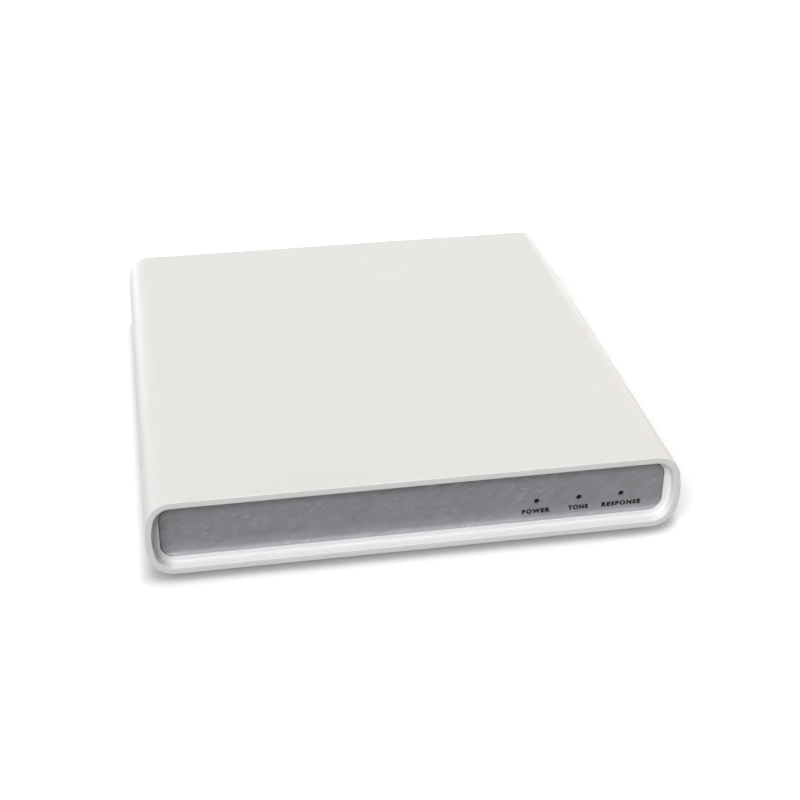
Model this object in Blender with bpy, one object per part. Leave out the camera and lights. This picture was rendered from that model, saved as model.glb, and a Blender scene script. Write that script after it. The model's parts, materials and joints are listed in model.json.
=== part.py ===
"""Desktop audiometer: a slim white case with three indicator lamps in a recessed front.

Metres, +Z up, front towards -Y. The origin is under the middle of the case, level with
the lower faces of the feet.
"""
import math

import bmesh
import bpy

# Case sleeve
CASE_WIDTH = 0.2088
CASE_HEIGHT = 0.032
CASE_DEPTH = 0.2245
CASE_WALL = 0.0028
CASE_CORNER_RADIUS = 0.0099
CASE_SIDE_RADIUS = 0.034
RIM_ROUND = 0.0004
RECESS_DEPTH = 0.0043
PLATE_CHAMFER = 0.0002

# Clearances and cutting
FIT_GAP = 0.0003
CUT_OVERRUN = 0.002

# Screws and the ports that they enter
SCREW_HEAD_RADIUS = 0.00235
SCREW_SUNK = 0.0002
SCREW_HOLE_MARGIN = 0.0002
SCREW_SHANK_RADIUS = 0.001
SCREW_LENGTH = 0.008
SCREW_DRIVE_REACH = 0.0012
SCREW_DRIVE_ARM = 0.00035
SCREW_DRIVE_DEPTH = 0.0009
PORT_WALL = 0.001
PORT_SLIT_ANGLE = 70.0
PORT_STALK_WIDTH = 0.0022

# Front bezel
BEZEL_THICKNESS = 0.004
BEZEL_COVE_RADIUS = 0.0008
BEZEL_LIP = 0.0002
BEZEL_RIB_THICKNESS = 0.0012
BEZEL_RIB_DEPTH = 0.0022

# Front panel, set in the pocket of the bezel
PANEL_MARGIN_X = 0.0028
PANEL_MARGIN_Z = 0.00215
PANEL_STEP = 0.0005
PANEL_THICKNESS = 0.001
POCKET_CORNER_RADIUS = 0.0055
PANEL_EDGE_CHAMFER = 0.00015

# Indicator lamps
LAMP_PITCH = 0.0171
LAMP_END_INSET = 0.0171
LAMP_HOLE_RADIUS = 0.001
LAMP_SUNK = 0.0003
PIPE_BARREL_RADIUS = 0.0016
PIPE_FLANGE_RADIUS = 0.0024
PIPE_FLANGE_LENGTH = 0.0008
PIPE_DOME_LENGTH = 0.0004
PIPE_BOSS_WALL = 0.0012
PIPE_BOSS_LENGTH = 0.0042
LED_WIDTH = 0.0036
LED_DEPTH = 0.0024
LED_HEIGHT = 0.0036
LED_LENS_RADIUS = 0.0012
LED_LENS_LENGTH = 0.0009

# Main board and its guides
BOARD_THICKNESS = 0.0016
BOARD_CORNER_RADIUS = 0.0015
BOARD_EDGE_GAP = 0.0005
BOARD_REAR_GAP = 0.0007
GUIDE_REACH = 0.0034
GUIDE_THICKNESS = 0.0014

# Rear panel
REAR_THICKNESS = 0.003

# Places across the rear, as shares of the case width
SWITCH_PLACE_SHARE = 0.345
DC_INLET_PLACE_SHARE = 0.235
USB_PLACE_SHARE = 0.135
JACK_ROW_PLACE_SHARE = -0.225

# Headphone and response jacks
JACK_PITCH = 0.025
JACK_BODY_WIDTH = 0.016
JACK_BODY_HEIGHT = 0.011
JACK_BODY_LENGTH = 0.023
JACK_BODY_ROUND = 0.0008
JACK_BORE_RADIUS = 0.0033
JACK_BORE_LENGTH = 0.026
JACK_MOUTH_CHAMFER = 0.0005
JACK_BUSHING_RADIUS = 0.0044
JACK_BUSHING_PROUD = 0.0028
JACK_WINDOW_WIDTH = 0.0026
JACK_WINDOW_LENGTH = 0.006
JACK_WINDOW_SETBACK = 0.004
NUT_ACROSS_FLATS = 0.0116
NUT_THICKNESS = 0.002
NUT_CORNER_DROP = 0.0005

# Data socket
USB_WIDTH = 0.012
USB_HEIGHT = 0.0108
USB_LENGTH = 0.016
USB_SHELL_ROUND = 0.0008
USB_MOUTH_WIDTH = 0.00845
USB_MOUTH_HEIGHT = 0.00778
USB_MOUTH_CHAMFER = 0.0016
USB_MOUTH_DEPTH = 0.012
USB_BASE_DEPTH = 0.0024
USB_TONGUE_WIDTH = 0.0056
USB_TONGUE_HEIGHT = 0.0032
USB_TONGUE_SETBACK = 0.0015

# Supply inlet
INLET_WIDTH = 0.009
INLET_HEIGHT = 0.0108
INLET_LENGTH = 0.0142
INLET_BORE_RADIUS = 0.00315
INLET_BORE_DEPTH = 0.0095
INLET_PIN_RADIUS = 0.001
INLET_PIN_SETBACK = 0.001
INLET_PIN_NOSE = 0.0005

# Power switch
SWITCH_WIDTH = 0.019
SWITCH_HEIGHT = 0.0108
SWITCH_LENGTH = 0.0145
SWITCH_PROUD = 0.0012
SWITCH_CORNER_RADIUS = 0.0008
SWITCH_WALL = 0.0012
SWITCH_WELL_FLOOR = 0.0024
ROCKER_TILT = 10.0
ROCKER_HALF_LENGTH = 0.0072
ROCKER_PIVOT_DROP = 0.0025
ROCKER_CREST = 0.0023
ROCKER_SKIRT_ANGLE = 8.0
ROCKER_KEEL_HALF_WIDTH = 0.003
ROCKER_KEEL_DEPTH = 0.0022
TRUNNION_RADIUS = 0.001
TRUNNION_LENGTH = 0.0005

# Feet
FOOT_RADIUS = 0.0063
FOOT_HEIGHT = 0.0025
FOOT_TAPER = 0.0007
FOOT_EDGE_ROUND = 0.0006
FOOT_SIDE_INSET = 0.021
FOOT_END_INSET = 0.020

# Parts on the main board
PROCESSOR_SIZE = 0.020
CODEC_SIZE = 0.009
LINK_CHIP_SIZE = 0.007
CHIP_HEIGHT = 0.0016
CHIP_CHAMFER = 0.0004
RELAY_WIDTH = 0.0075
RELAY_LENGTH = 0.015
RELAY_HEIGHT = 0.0098
RELAY_ROUND = 0.0006
CAPACITOR_RADIUS = 0.004
CAPACITOR_HEIGHT = 0.011
CAPACITOR_ROUND = 0.0005
CAPACITOR_GROOVE = 0.0003
CAPACITOR_GROOVE_HEIGHT = 0.0018
CAPACITOR_PITCH = 0.0105
INDUCTOR_SIZE = 0.0125
INDUCTOR_HEIGHT = 0.0065
INDUCTOR_CHAMFER = 0.0018
SHIELD_WIDTH = 0.040
SHIELD_LENGTH = 0.030
SHIELD_HEIGHT = 0.0075
SHIELD_WALL = 0.0005
SHIELD_CORNER_RADIUS = 0.0015
SINK_WIDTH = 0.020
SINK_LENGTH = 0.016
SINK_HEIGHT = 0.009
SINK_BASE = 0.002
SINK_FINS = 5
SINK_FIN_THICKNESS = 0.0012
CRYSTAL_WIDTH = 0.0047
CRYSTAL_LENGTH = 0.011
CRYSTAL_HEIGHT = 0.0036

# Places on the board, as shares of its half width and half depth
PROCESSOR_PLACE_SHARE = (0.12, -0.30)
CODEC_PLACE_SHARE = (-0.50, 0.02)
LINK_CHIP_PLACE_SHARE = (0.30, 0.42)
CRYSTAL_PLACE_SHARE = (0.40, -0.30)
RELAY_PLACE_SHARES = {"left_output_relay": (-0.52, 0.46), "right_output_relay": (-0.36, 0.46)}
CAPACITOR_ROW_SHARE = (0.62, 0.18)
INDUCTOR_PLACE_SHARE = (0.62, -0.06)
SINK_PLACE_SHARE = (0.66, -0.38)

# Facet counts
CORNER_STEPS = 8
SIDE_STEPS = 4
RIM_STEPS = 2
COVE_STEPS = 4
SMALL_ROUND_STEPS = 4
HOLE_STEPS = 20
LAMP_STEPS = 16
BORE_STEPS = 24
FOOT_STEPS = 28
SHARP_ANGLE = 35.0

# Sizes worked out from the above
CASE_MID_Z = FOOT_HEIGHT + CASE_HEIGHT / 2
FRONT_Y = -CASE_DEPTH / 2
REAR_Y = CASE_DEPTH / 2
FRONT_FACE_Y = FRONT_Y + RECESS_DEPTH
FRONT_BACK_Y = FRONT_FACE_Y + BEZEL_THICKNESS
REAR_FACE_Y = REAR_Y - RECESS_DEPTH
REAR_BACK_Y = REAR_FACE_Y - REAR_THICKNESS
POCKET_HALF_X = CASE_WIDTH / 2 - CASE_WALL - PANEL_MARGIN_X
POCKET_HALF_Z = CASE_HEIGHT / 2 - CASE_WALL - PANEL_MARGIN_Z
POCKET_DEPTH = PANEL_STEP + PANEL_THICKNESS + FIT_GAP
PORT_HOLE_RADIUS = SCREW_SHANK_RADIUS + FIT_GAP
PORT_RADIUS = PORT_HOLE_RADIUS + PORT_WALL
PORT_X = POCKET_HALF_X - POCKET_CORNER_RADIUS - PORT_HOLE_RADIUS / 2
PORT_Z = POCKET_HALF_Z - SCREW_HEAD_RADIUS - FIT_GAP - SCREW_HOLE_MARGIN
BOARD_BOTTOM = FIT_GAP + PORT_RADIUS - PORT_Z
BOARD_TOP = BOARD_BOTTOM + BOARD_THICKNESS
BOARD_SEAT = BOARD_TOP + FIT_GAP
LAMP_Z = BOARD_SEAT + LED_HEIGHT / 2
LAMP_LAST_X = POCKET_HALF_X - LAMP_END_INSET
BOARD_FRONT_Y = FRONT_BACK_Y + PIPE_BOSS_LENGTH + PIPE_FLANGE_LENGTH + PIPE_DOME_LENGTH + FIT_GAP
BOARD_REAR_Y = REAR_BACK_Y - BOARD_REAR_GAP
LAMP_NAMES = ("power", "tone", "response")
JACK_NAMES = ("response_jack", "left_phone_jack", "right_phone_jack")
FOUR_CORNERS = (
    ("front", "left", -1, -1),
    ("front", "right", 1, -1),
    ("rear", "left", -1, 1),
    ("rear", "right", 1, 1),
)

# Colour, roughness and metallic value of each finish
FINISHES = {
    "white_abs": ((0.80, 0.79, 0.77, 1.0), 0.42, 0.0),
    "silver_film": ((0.26, 0.26, 0.275, 1.0), 0.38, 0.85),
    "smoked_acrylic": ((0.012, 0.012, 0.013, 1.0), 0.15, 0.0),
    "led_epoxy": ((0.75, 0.75, 0.68, 1.0), 0.35, 0.0),
    "zinc_steel": ((0.55, 0.56, 0.58, 1.0), 0.32, 1.0),
    "nickel_brass": ((0.60, 0.58, 0.54, 1.0), 0.25, 1.0),
    "black_nylon": ((0.018, 0.018, 0.019, 1.0), 0.50, 0.0),
    "grey_rubber": ((0.055, 0.055, 0.058, 1.0), 0.85, 0.0),
    "green_laminate": ((0.020, 0.130, 0.050, 1.0), 0.40, 0.0),
    "mould_compound": ((0.020, 0.020, 0.021, 1.0), 0.60, 0.0),
    "tin_plate": ((0.62, 0.62, 0.63, 1.0), 0.30, 1.0),
    "ferrite": ((0.045, 0.045, 0.048, 1.0), 0.70, 0.0),
    "black_aluminium": ((0.030, 0.030, 0.032, 1.0), 0.45, 0.6),
    "relay_white": ((0.70, 0.70, 0.68, 1.0), 0.45, 0.0),
    "sleeve_film": ((0.020, 0.025, 0.090, 1.0), 0.35, 0.0),
}


def clear_objects():
    """Start from an empty scene."""
    for obj in list(bpy.data.objects):
        bpy.data.objects.remove(obj, do_unlink=True)


def add_frame(name, location=(0, 0, 0), parent=None):
    """Add an empty that carries the pieces built around it."""
    frame = bpy.data.objects.new(name, None)
    frame.location = location
    frame.parent = parent
    bpy.context.collection.objects.link(frame)
    return frame


def shade(mesh):
    """Smooth shading, with the hard edges kept."""
    mesh.shade_smooth()
    mesh.set_sharp_from_angle(angle=math.radians(SHARP_ANGLE))


def add_object(name, bm, parent, location):
    """Turn a bmesh into an object whose faces point outwards."""
    bmesh.ops.recalc_face_normals(bm, faces=bm.faces)
    mesh = bpy.data.meshes.new(name)
    bm.to_mesh(mesh)
    bm.free()
    shade(mesh)
    obj = bpy.data.objects.new(name, mesh)
    obj.parent = parent
    obj.location = location
    bpy.context.collection.objects.link(obj)
    return obj


def add_part(name, bm, finish, parent, location=(0, 0, 0)):
    """Add one sub-part with a material of its own."""
    part = add_object(name, bm, parent, location)
    colour, roughness, metallic = FINISHES[finish]
    material = bpy.data.materials.new(name + "_" + finish)
    material.use_nodes = True
    shader = material.node_tree.nodes["Principled BSDF"]
    shader.inputs["Base Color"].default_value = colour
    shader.inputs["Roughness"].default_value = roughness
    shader.inputs["Metallic"].default_value = metallic
    material.diffuse_color = colour
    part.data.materials.append(material)
    return part


def combine(part, bm, operation, label):
    """Fuse a tool shape to a part, cut it out or keep what they share, and apply the result."""
    tool = add_object(part.name + "_" + label, bm, part.parent, part.location)
    tool.hide_render = True
    tool.display_type = "WIRE"
    boolean = part.modifiers.new(label, "BOOLEAN")
    boolean.operation = operation
    boolean.solver = "EXACT"
    boolean.object = tool
    depsgraph = bpy.context.evaluated_depsgraph_get()
    result = bpy.data.meshes.new_from_object(part.evaluated_get(depsgraph))
    result.name = part.name
    part.modifiers.clear()
    part.data = result
    shade(result)
    bpy.data.objects.remove(tool, do_unlink=True)


def fuse(part, bm, label):
    combine(part, bm, "UNION", label)


def cut(part, bm, label):
    combine(part, bm, "DIFFERENCE", label)


def arc(centre, radius, start, end, steps):
    """Points on an arc between two angles in degrees, both ends included."""
    points = []
    for i in range(steps + 1):
        angle = math.radians(start + (end - start) * i / steps)
        points.append((centre[0] + radius * math.cos(angle), centre[1] + radius * math.sin(angle)))
    return points


def circle(radius, steps, centre=(0, 0)):
    return arc(centre, radius, 0, 360 * (steps - 1) / steps, steps - 1)


def rounded_rectangle(half_x, half_z, radius, steps, centre=(0, 0)):
    """Outline with four equal round corners."""
    points = []
    for side_x, side_z, start in ((1, 1, 0), (-1, 1, 90), (-1, -1, 180), (1, -1, 270)):
        corner = (centre[0] + side_x * (half_x - radius), centre[1] + side_z * (half_z - radius))
        points += arc(corner, radius, start, start + 90, steps)
    return points


def cross_outline(reach, half_arm, centre=(0, 0)):
    """Outline of the cross recess in a screw head."""
    quarter = ((reach, half_arm), (half_arm, half_arm), (half_arm, reach))
    points = []
    for turn in range(4):
        for x, z in quarter:
            for _ in range(turn):
                x, z = -z, x
            points.append((centre[0] + x, centre[1] + z))
    return points


def case_outline(inset):
    """Case section moved inwards by inset: flat top and bottom, corner arcs, slightly bowed sides."""
    rise = CASE_HEIGHT / 2 - CASE_CORNER_RADIUS
    reach = CASE_SIDE_RADIUS - CASE_CORNER_RADIUS
    side_x = CASE_WIDTH / 2 - CASE_SIDE_RADIUS
    corner_x = side_x + math.sqrt(reach**2 - rise**2)
    turn = math.degrees(math.asin(rise / reach))
    side = arc((side_x, 0), CASE_SIDE_RADIUS - inset, -turn, turn, SIDE_STEPS)
    corner = arc((corner_x, rise), CASE_CORNER_RADIUS - inset, turn, 90, CORNER_STEPS)
    right = side + corner[1:]
    left = [(-x, -z) for x, z in right]
    lower_right = [(x, -z) for x, z in reversed(corner[1:])]
    upper_left = [(-x, z) for x, z in reversed(corner[1:])]
    return right + upper_left + left + lower_right


def case_half_width(height, inset):
    """Half width of the case section, moved inwards by inset, on its bowed side at a height."""
    radius = CASE_SIDE_RADIUS - inset
    return CASE_WIDTH / 2 - CASE_SIDE_RADIUS + math.sqrt(radius**2 - height**2)


def loft(rings, closed=False):
    """Skin a row of rings of equal counts, capped at both ends or joined into a loop."""
    bm = bmesh.new()
    rows = [[bm.verts.new(point) for point in ring] for ring in rings]
    pairs = list(zip(rows, rows[1:]))
    if closed:
        pairs.append((rows[-1], rows[0]))
    for near, far in pairs:
        for i in range(len(near)):
            j = (i + 1) % len(near)
            bm.faces.new((near[i], near[j], far[j], far[i]))
    if not closed:
        bm.faces.new(rows[0])
        bm.faces.new(list(reversed(rows[-1])))
    return bm


def stack_y(sections):
    """Loft of (outline, y) pairs, with each outline in X and Z."""
    return loft([[(x, y, z) for x, z in outline] for outline, y in sections])


def stack_z(sections):
    """Loft of (outline, z) pairs, with each outline in X and Y."""
    return loft([[(x, y, z) for x, y in outline] for outline, z in sections])


def turned_y(profile, steps, centre=(0, 0)):
    """Turned piece along Y from (radius, y) pairs."""
    return stack_y([(circle(radius, steps, centre), y) for radius, y in profile])


def turned_z(profile, steps, centre=(0, 0)):
    """Turned piece along Z from (radius, z) pairs."""
    return stack_z([(circle(radius, steps, centre), z) for radius, z in profile])


def port_places():
    """Left and right, lower and upper screw ports of the case sleeve."""
    return [(side_x, side_z) for side_x in (-1, 1) for side_z in (-1, 1)]


def lamp_x(index):
    return LAMP_LAST_X - LAMP_PITCH * (len(LAMP_NAMES) - 1 - index)


def rim_profile():
    """(inset, depth in from the end) pairs round the outer edge of a rim, from its face to its side."""
    pairs = []
    for i in range(RIM_STEPS + 1):
        angle = math.pi / 2 * i / RIM_STEPS
        pairs.append((RIM_ROUND * (1 - math.sin(angle)), RIM_ROUND * (1 - math.cos(angle))))
    return pairs


def make_case_sleeve(case):
    """One open tube with rounded rims, card guides and slit screw ports along its inside."""
    rim = rim_profile()
    sections = [(inset, FRONT_Y + depth) for inset, depth in rim]
    sections += [(inset, REAR_Y - depth) for inset, depth in reversed(rim)]
    sections += [(CASE_WALL - inset, REAR_Y - depth) for inset, depth in rim]
    sections += [(CASE_WALL - inset, FRONT_Y + depth) for inset, depth in reversed(rim)]
    rings = [[(x, y, z) for x, z in case_outline(inset)] for inset, y in sections]
    sleeve = add_part("case_sleeve", loft(rings, closed=True), "white_abs", case)
    near = FRONT_BACK_Y + FIT_GAP
    far = REAR_BACK_Y - FIT_GAP
    for side_x, side_z in port_places():
        tag = ("right" if side_x > 0 else "left") + ("_upper" if side_z > 0 else "_lower")
        slit = -90 * side_z
        start = slit + PORT_SLIT_ANGLE / 2
        end = slit + 360 - PORT_SLIT_ANGLE / 2
        centre = (side_x * PORT_X, side_z * PORT_Z)
        ring = arc(centre, PORT_RADIUS, start, end, HOLE_STEPS)
        ring += arc(centre, PORT_HOLE_RADIUS, end, start, HOLE_STEPS)
        fuse(sleeve, stack_y([(ring, near), (ring, far)]), "port_" + tag)
        foot = side_z * (PORT_Z + PORT_HOLE_RADIUS + PORT_WALL / 2)
        head = side_z * (CASE_HEIGHT / 2 - CASE_WALL / 2)
        half = PORT_STALK_WIDTH / 2
        left = centre[0] - half
        right = centre[0] + half
        stalk = [(left, foot), (right, foot), (right, head), (left, head)]
        fuse(sleeve, stack_y([(stalk, near), (stalk, far)]), "stalk_" + tag)
    for side_x in (-1, 1):
        tip = side_x * (CASE_WIDTH / 2 - CASE_WALL - GUIDE_REACH)
        root = side_x * (CASE_WIDTH / 2 - CASE_WALL / 2)
        lower = (BOARD_BOTTOM - FIT_GAP - GUIDE_THICKNESS, BOARD_BOTTOM - FIT_GAP)
        upper = (BOARD_TOP + FIT_GAP, BOARD_TOP + FIT_GAP + GUIDE_THICKNESS)
        for low, high in (lower, upper):
            guide = [(tip, low), (root, low), (root, high), (tip, high)]
            label = ("right" if side_x > 0 else "left") + ("_lower" if low < BOARD_BOTTOM else "_upper")
            fuse(sleeve, stack_y([(guide, near), (guide, far)]), "guide_" + label)


def cove_profile():
    """(inset, rise) pairs from a plate's face up its concave edge to the lip at the case wall."""
    wall = CASE_WALL + FIT_GAP
    pairs = []
    for i in range(COVE_STEPS + 1):
        angle = math.pi / 2 * i / COVE_STEPS
        inset = wall + BEZEL_LIP + BEZEL_COVE_RADIUS * (1 - math.sin(angle))
        pairs.append((inset, BEZEL_COVE_RADIUS * (1 - math.cos(angle))))
    pairs.append((wall, BEZEL_COVE_RADIUS))
    return pairs


def end_plate(face_edge, face_y, thickness, outward):
    """Plate that closes one end of the sleeve; outward is -1 at the front and 1 at the rear."""
    wall = CASE_WALL + FIT_GAP
    back_y = face_y - outward * thickness
    sections = [(case_outline(inset), face_y + outward * rise) for inset, rise in face_edge]
    sections.append((case_outline(wall), back_y + outward * PLATE_CHAMFER))
    sections.append((case_outline(wall + PLATE_CHAMFER), back_y))
    return stack_y(sections)


def screw_hole(centre, face_y, outward, floor):
    """Cutter for a countersunk hole; floor is the plate left under the screw head's face."""
    head = SCREW_HEAD_RADIUS + FIT_GAP
    shank = SCREW_SHANK_RADIUS + FIT_GAP
    profile = (
        (head, face_y + outward * CUT_OVERRUN),
        (head, face_y - outward * SCREW_SUNK),
        (shank, face_y - outward * (SCREW_SUNK + head - shank)),
        (shank, face_y - outward * (floor + CUT_OVERRUN)),
    )
    return turned_y(profile, HOLE_STEPS, centre)


def make_front_bezel(case):
    """Moulded plate with a coved edge, a pocket for the panel and bosses for the light pipes."""
    plate = end_plate(cove_profile(), FRONT_FACE_Y, BEZEL_THICKNESS, -1)
    bezel = add_part("front_bezel", plate, "white_abs", case)
    pocket_y = FRONT_FACE_Y + POCKET_DEPTH
    boss_y = FRONT_BACK_Y + PIPE_BOSS_LENGTH
    inner_y = FRONT_BACK_Y - BEZEL_THICKNESS / 4
    for index, name in enumerate(LAMP_NAMES):
        hole = PIPE_BARREL_RADIUS + FIT_GAP
        boss = turned_y(((hole + PIPE_BOSS_WALL, inner_y), (hole + PIPE_BOSS_WALL, boss_y)), HOLE_STEPS,
                        (lamp_x(index), LAMP_Z))
        fuse(bezel, boss, name + "_boss")
    half = BEZEL_RIB_THICKNESS / 2
    rib = [(lamp_x(0), LAMP_Z - half), (LAMP_LAST_X, LAMP_Z - half), (LAMP_LAST_X, LAMP_Z + half),
           (lamp_x(0), LAMP_Z + half)]
    fuse(bezel, stack_y([(rib, inner_y), (rib, FRONT_BACK_Y + BEZEL_RIB_DEPTH)]), "rib")
    pocket = rounded_rectangle(POCKET_HALF_X, POCKET_HALF_Z, POCKET_CORNER_RADIUS, CORNER_STEPS)
    cut(bezel, stack_y([(pocket, FRONT_FACE_Y - CUT_OVERRUN), (pocket, pocket_y)]), "pocket")
    for index, name in enumerate(LAMP_NAMES):
        hole = PIPE_BARREL_RADIUS + FIT_GAP
        bore = turned_y(((hole, pocket_y - CUT_OVERRUN), (hole, boss_y + CUT_OVERRUN)), HOLE_STEPS,
                        (lamp_x(index), LAMP_Z))
        cut(bezel, bore, name + "_bore")
    for number, (side_x, side_z) in enumerate(port_places(), 1):
        centre = (side_x * PORT_X, side_z * PORT_Z)
        hole = screw_hole(centre, pocket_y, -1, BEZEL_THICKNESS - POCKET_DEPTH)
        cut(bezel, hole, "screw_hole_%d" % number)


def make_front_panel(case):
    """Thin silver panel in the bezel's pocket, with three lamp holes."""
    half_x = POCKET_HALF_X - FIT_GAP
    half_z = POCKET_HALF_Z - FIT_GAP
    radius = POCKET_CORNER_RADIUS - FIT_GAP
    chamfer = PANEL_EDGE_CHAMFER
    face_y = FRONT_FACE_Y + PANEL_STEP
    full = rounded_rectangle(half_x, half_z, radius, CORNER_STEPS)
    face = rounded_rectangle(half_x - chamfer, half_z - chamfer, radius - chamfer, CORNER_STEPS)
    sections = [(face, face_y), (full, face_y + chamfer), (full, face_y + PANEL_THICKNESS)]
    panel = add_part("front_panel", stack_y(sections), "silver_film", case)
    for index, name in enumerate(LAMP_NAMES):
        profile = (
            (LAMP_HOLE_RADIUS, face_y - CUT_OVERRUN),
            (LAMP_HOLE_RADIUS, face_y + PANEL_THICKNESS + CUT_OVERRUN),
        )
        cut(panel, turned_y(profile, LAMP_STEPS, (lamp_x(index), LAMP_Z)), name + "_hole")


def make_light_pipes(case):
    """Stepped light pipes: a narrow tip in the panel, a barrel in the bezel and a flange behind it."""
    tip_y = FRONT_FACE_Y + PANEL_STEP + LAMP_SUNK
    shoulder_y = FRONT_FACE_Y + PANEL_STEP + PANEL_THICKNESS + FIT_GAP
    flange_y = FRONT_BACK_Y + PIPE_BOSS_LENGTH + FIT_GAP
    end_y = flange_y + PIPE_FLANGE_LENGTH
    tip = LAMP_HOLE_RADIUS - FIT_GAP
    profile = (
        (tip, tip_y),
        (tip, shoulder_y),
        (PIPE_BARREL_RADIUS, shoulder_y),
        (PIPE_BARREL_RADIUS, flange_y),
        (PIPE_FLANGE_RADIUS, flange_y),
        (PIPE_FLANGE_RADIUS, end_y - PIPE_DOME_LENGTH),
        (PIPE_FLANGE_RADIUS * math.cos(math.radians(SHARP_ANGLE)), end_y),
    )
    for index, name in enumerate(LAMP_NAMES):
        add_part(name + "_light_pipe", turned_y(profile, LAMP_STEPS), "smoked_acrylic", case,
                 (lamp_x(index), 0, LAMP_Z))


def make_leds(case):
    """Side-firing lamps on the board's front edge, each with its lens towards a light pipe."""
    half = (LED_WIDTH / 2, LED_HEIGHT / 2)
    body = rounded_rectangle(half[0], half[1], LED_LENS_LENGTH / 2, 2)
    front = LED_LENS_LENGTH
    for index, name in enumerate(LAMP_NAMES):
        sections = [(body, front), (body, front + LED_DEPTH)]
        place = (lamp_x(index), BOARD_FRONT_Y, LAMP_Z)
        led = add_part(name + "_led", stack_y(sections), "led_epoxy", case, place)
        lens = []
        for angle in (80, 50, 20, 0):
            turn = math.radians(angle)
            lens.append((LED_LENS_RADIUS * math.cos(turn), front - LED_LENS_LENGTH * math.sin(turn)))
        lens.append((LED_LENS_RADIUS, front + LED_DEPTH / 2))
        fuse(led, turned_y(lens, LAMP_STEPS), "lens")


def make_screws(case):
    """Countersunk cross-recess screws through both end plates into the sleeve's ports."""
    head = SCREW_HEAD_RADIUS
    shank = SCREW_SHANK_RADIUS
    faces = {"front": (FRONT_FACE_Y + POCKET_DEPTH, -1), "rear": (REAR_FACE_Y, 1)}
    for end, (face_y, outward) in faces.items():
        top = -outward * SCREW_SUNK
        profile = (
            (head, top),
            (shank, top - outward * (head - shank)),
            (shank, top - outward * SCREW_LENGTH),
        )
        drive = cross_outline(SCREW_DRIVE_REACH, SCREW_DRIVE_ARM)
        for number, (side_x, side_z) in enumerate(port_places(), 1):
            place = (side_x * PORT_X, face_y, side_z * PORT_Z)
            name = "%s_screw_%d" % (end, number)
            screw = add_part(name, turned_y(profile, LAMP_STEPS), "zinc_steel", case, place)
            sections = [(drive, top + outward * CUT_OVERRUN), (drive, top - outward * SCREW_DRIVE_DEPTH)]
            cut(screw, stack_y(sections), "drive")


def jack_x(index):
    return CASE_WIDTH * JACK_ROW_PLACE_SHARE + JACK_PITCH * (1 - index)


def socket_z(height):
    """Middle height of a socket that stands on the board."""
    return BOARD_SEAT + height / 2


def through(outline):
    """Cutter that passes right through the rear panel."""
    return stack_y([(outline, REAR_BACK_Y - CUT_OVERRUN), (outline, REAR_FACE_Y + CUT_OVERRUN)])


def usb_mouth(shrink):
    """Outline of the data socket's mouth: square, with its two upper corners cut off."""
    half_x = USB_MOUTH_WIDTH / 2 - shrink
    half_z = USB_MOUTH_HEIGHT / 2 - shrink
    chamfer = USB_MOUTH_CHAMFER
    return [(half_x, -half_z), (half_x, half_z - chamfer), (half_x - chamfer, half_z),
            (chamfer - half_x, half_z), (-half_x, half_z - chamfer), (-half_x, -half_z)]


def inlet_outline(grow):
    """Arched outline of the supply inlet: square below, half round above."""
    radius = INLET_WIDTH / 2 + grow
    bore_z = INLET_HEIGHT / 2 - INLET_WIDTH / 2
    low = -INLET_HEIGHT / 2 - grow
    return [(-radius, low), (radius, low)] + arc((0, bore_z), radius, 0, 180, CORNER_STEPS * 2)


def moved(outline, place):
    return [(x + place[0], z + place[1]) for x, z in outline]


def make_rear_panel(case):
    """White end plate with the socket cut-outs and four screw holes."""
    wall = CASE_WALL + FIT_GAP
    edge = ((wall + PLATE_CHAMFER, 0), (wall, -PLATE_CHAMFER))
    plate = add_part("rear_panel", end_plate(edge, REAR_FACE_Y, REAR_THICKNESS, 1), "white_abs", case)
    for index in range(len(JACK_NAMES)):
        place = (jack_x(index), socket_z(JACK_BODY_HEIGHT))
        cut(plate, through(circle(JACK_BUSHING_RADIUS + FIT_GAP, BORE_STEPS, place)), "jack_hole_%d" % index)
    place = (CASE_WIDTH * USB_PLACE_SHARE, socket_z(USB_HEIGHT))
    usb = rounded_rectangle(USB_WIDTH / 2 + FIT_GAP, USB_HEIGHT / 2 + FIT_GAP,
                            USB_SHELL_ROUND + FIT_GAP, SMALL_ROUND_STEPS, place)
    cut(plate, through(usb), "usb_hole")
    place = (CASE_WIDTH * DC_INLET_PLACE_SHARE, socket_z(INLET_HEIGHT))
    cut(plate, through(moved(inlet_outline(FIT_GAP), place)), "inlet_hole")
    place = (CASE_WIDTH * SWITCH_PLACE_SHARE, socket_z(SWITCH_HEIGHT))
    switch = rounded_rectangle(SWITCH_WIDTH / 2 + FIT_GAP, SWITCH_HEIGHT / 2 + FIT_GAP,
                               SWITCH_CORNER_RADIUS + FIT_GAP, SMALL_ROUND_STEPS, place)
    cut(plate, through(switch), "switch_hole")
    for number, (side_x, side_z) in enumerate(port_places(), 1):
        centre = (side_x * PORT_X, side_z * PORT_Z)
        cut(plate, screw_hole(centre, REAR_FACE_Y, 1, REAR_THICKNESS), "screw_hole_%d" % number)


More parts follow.
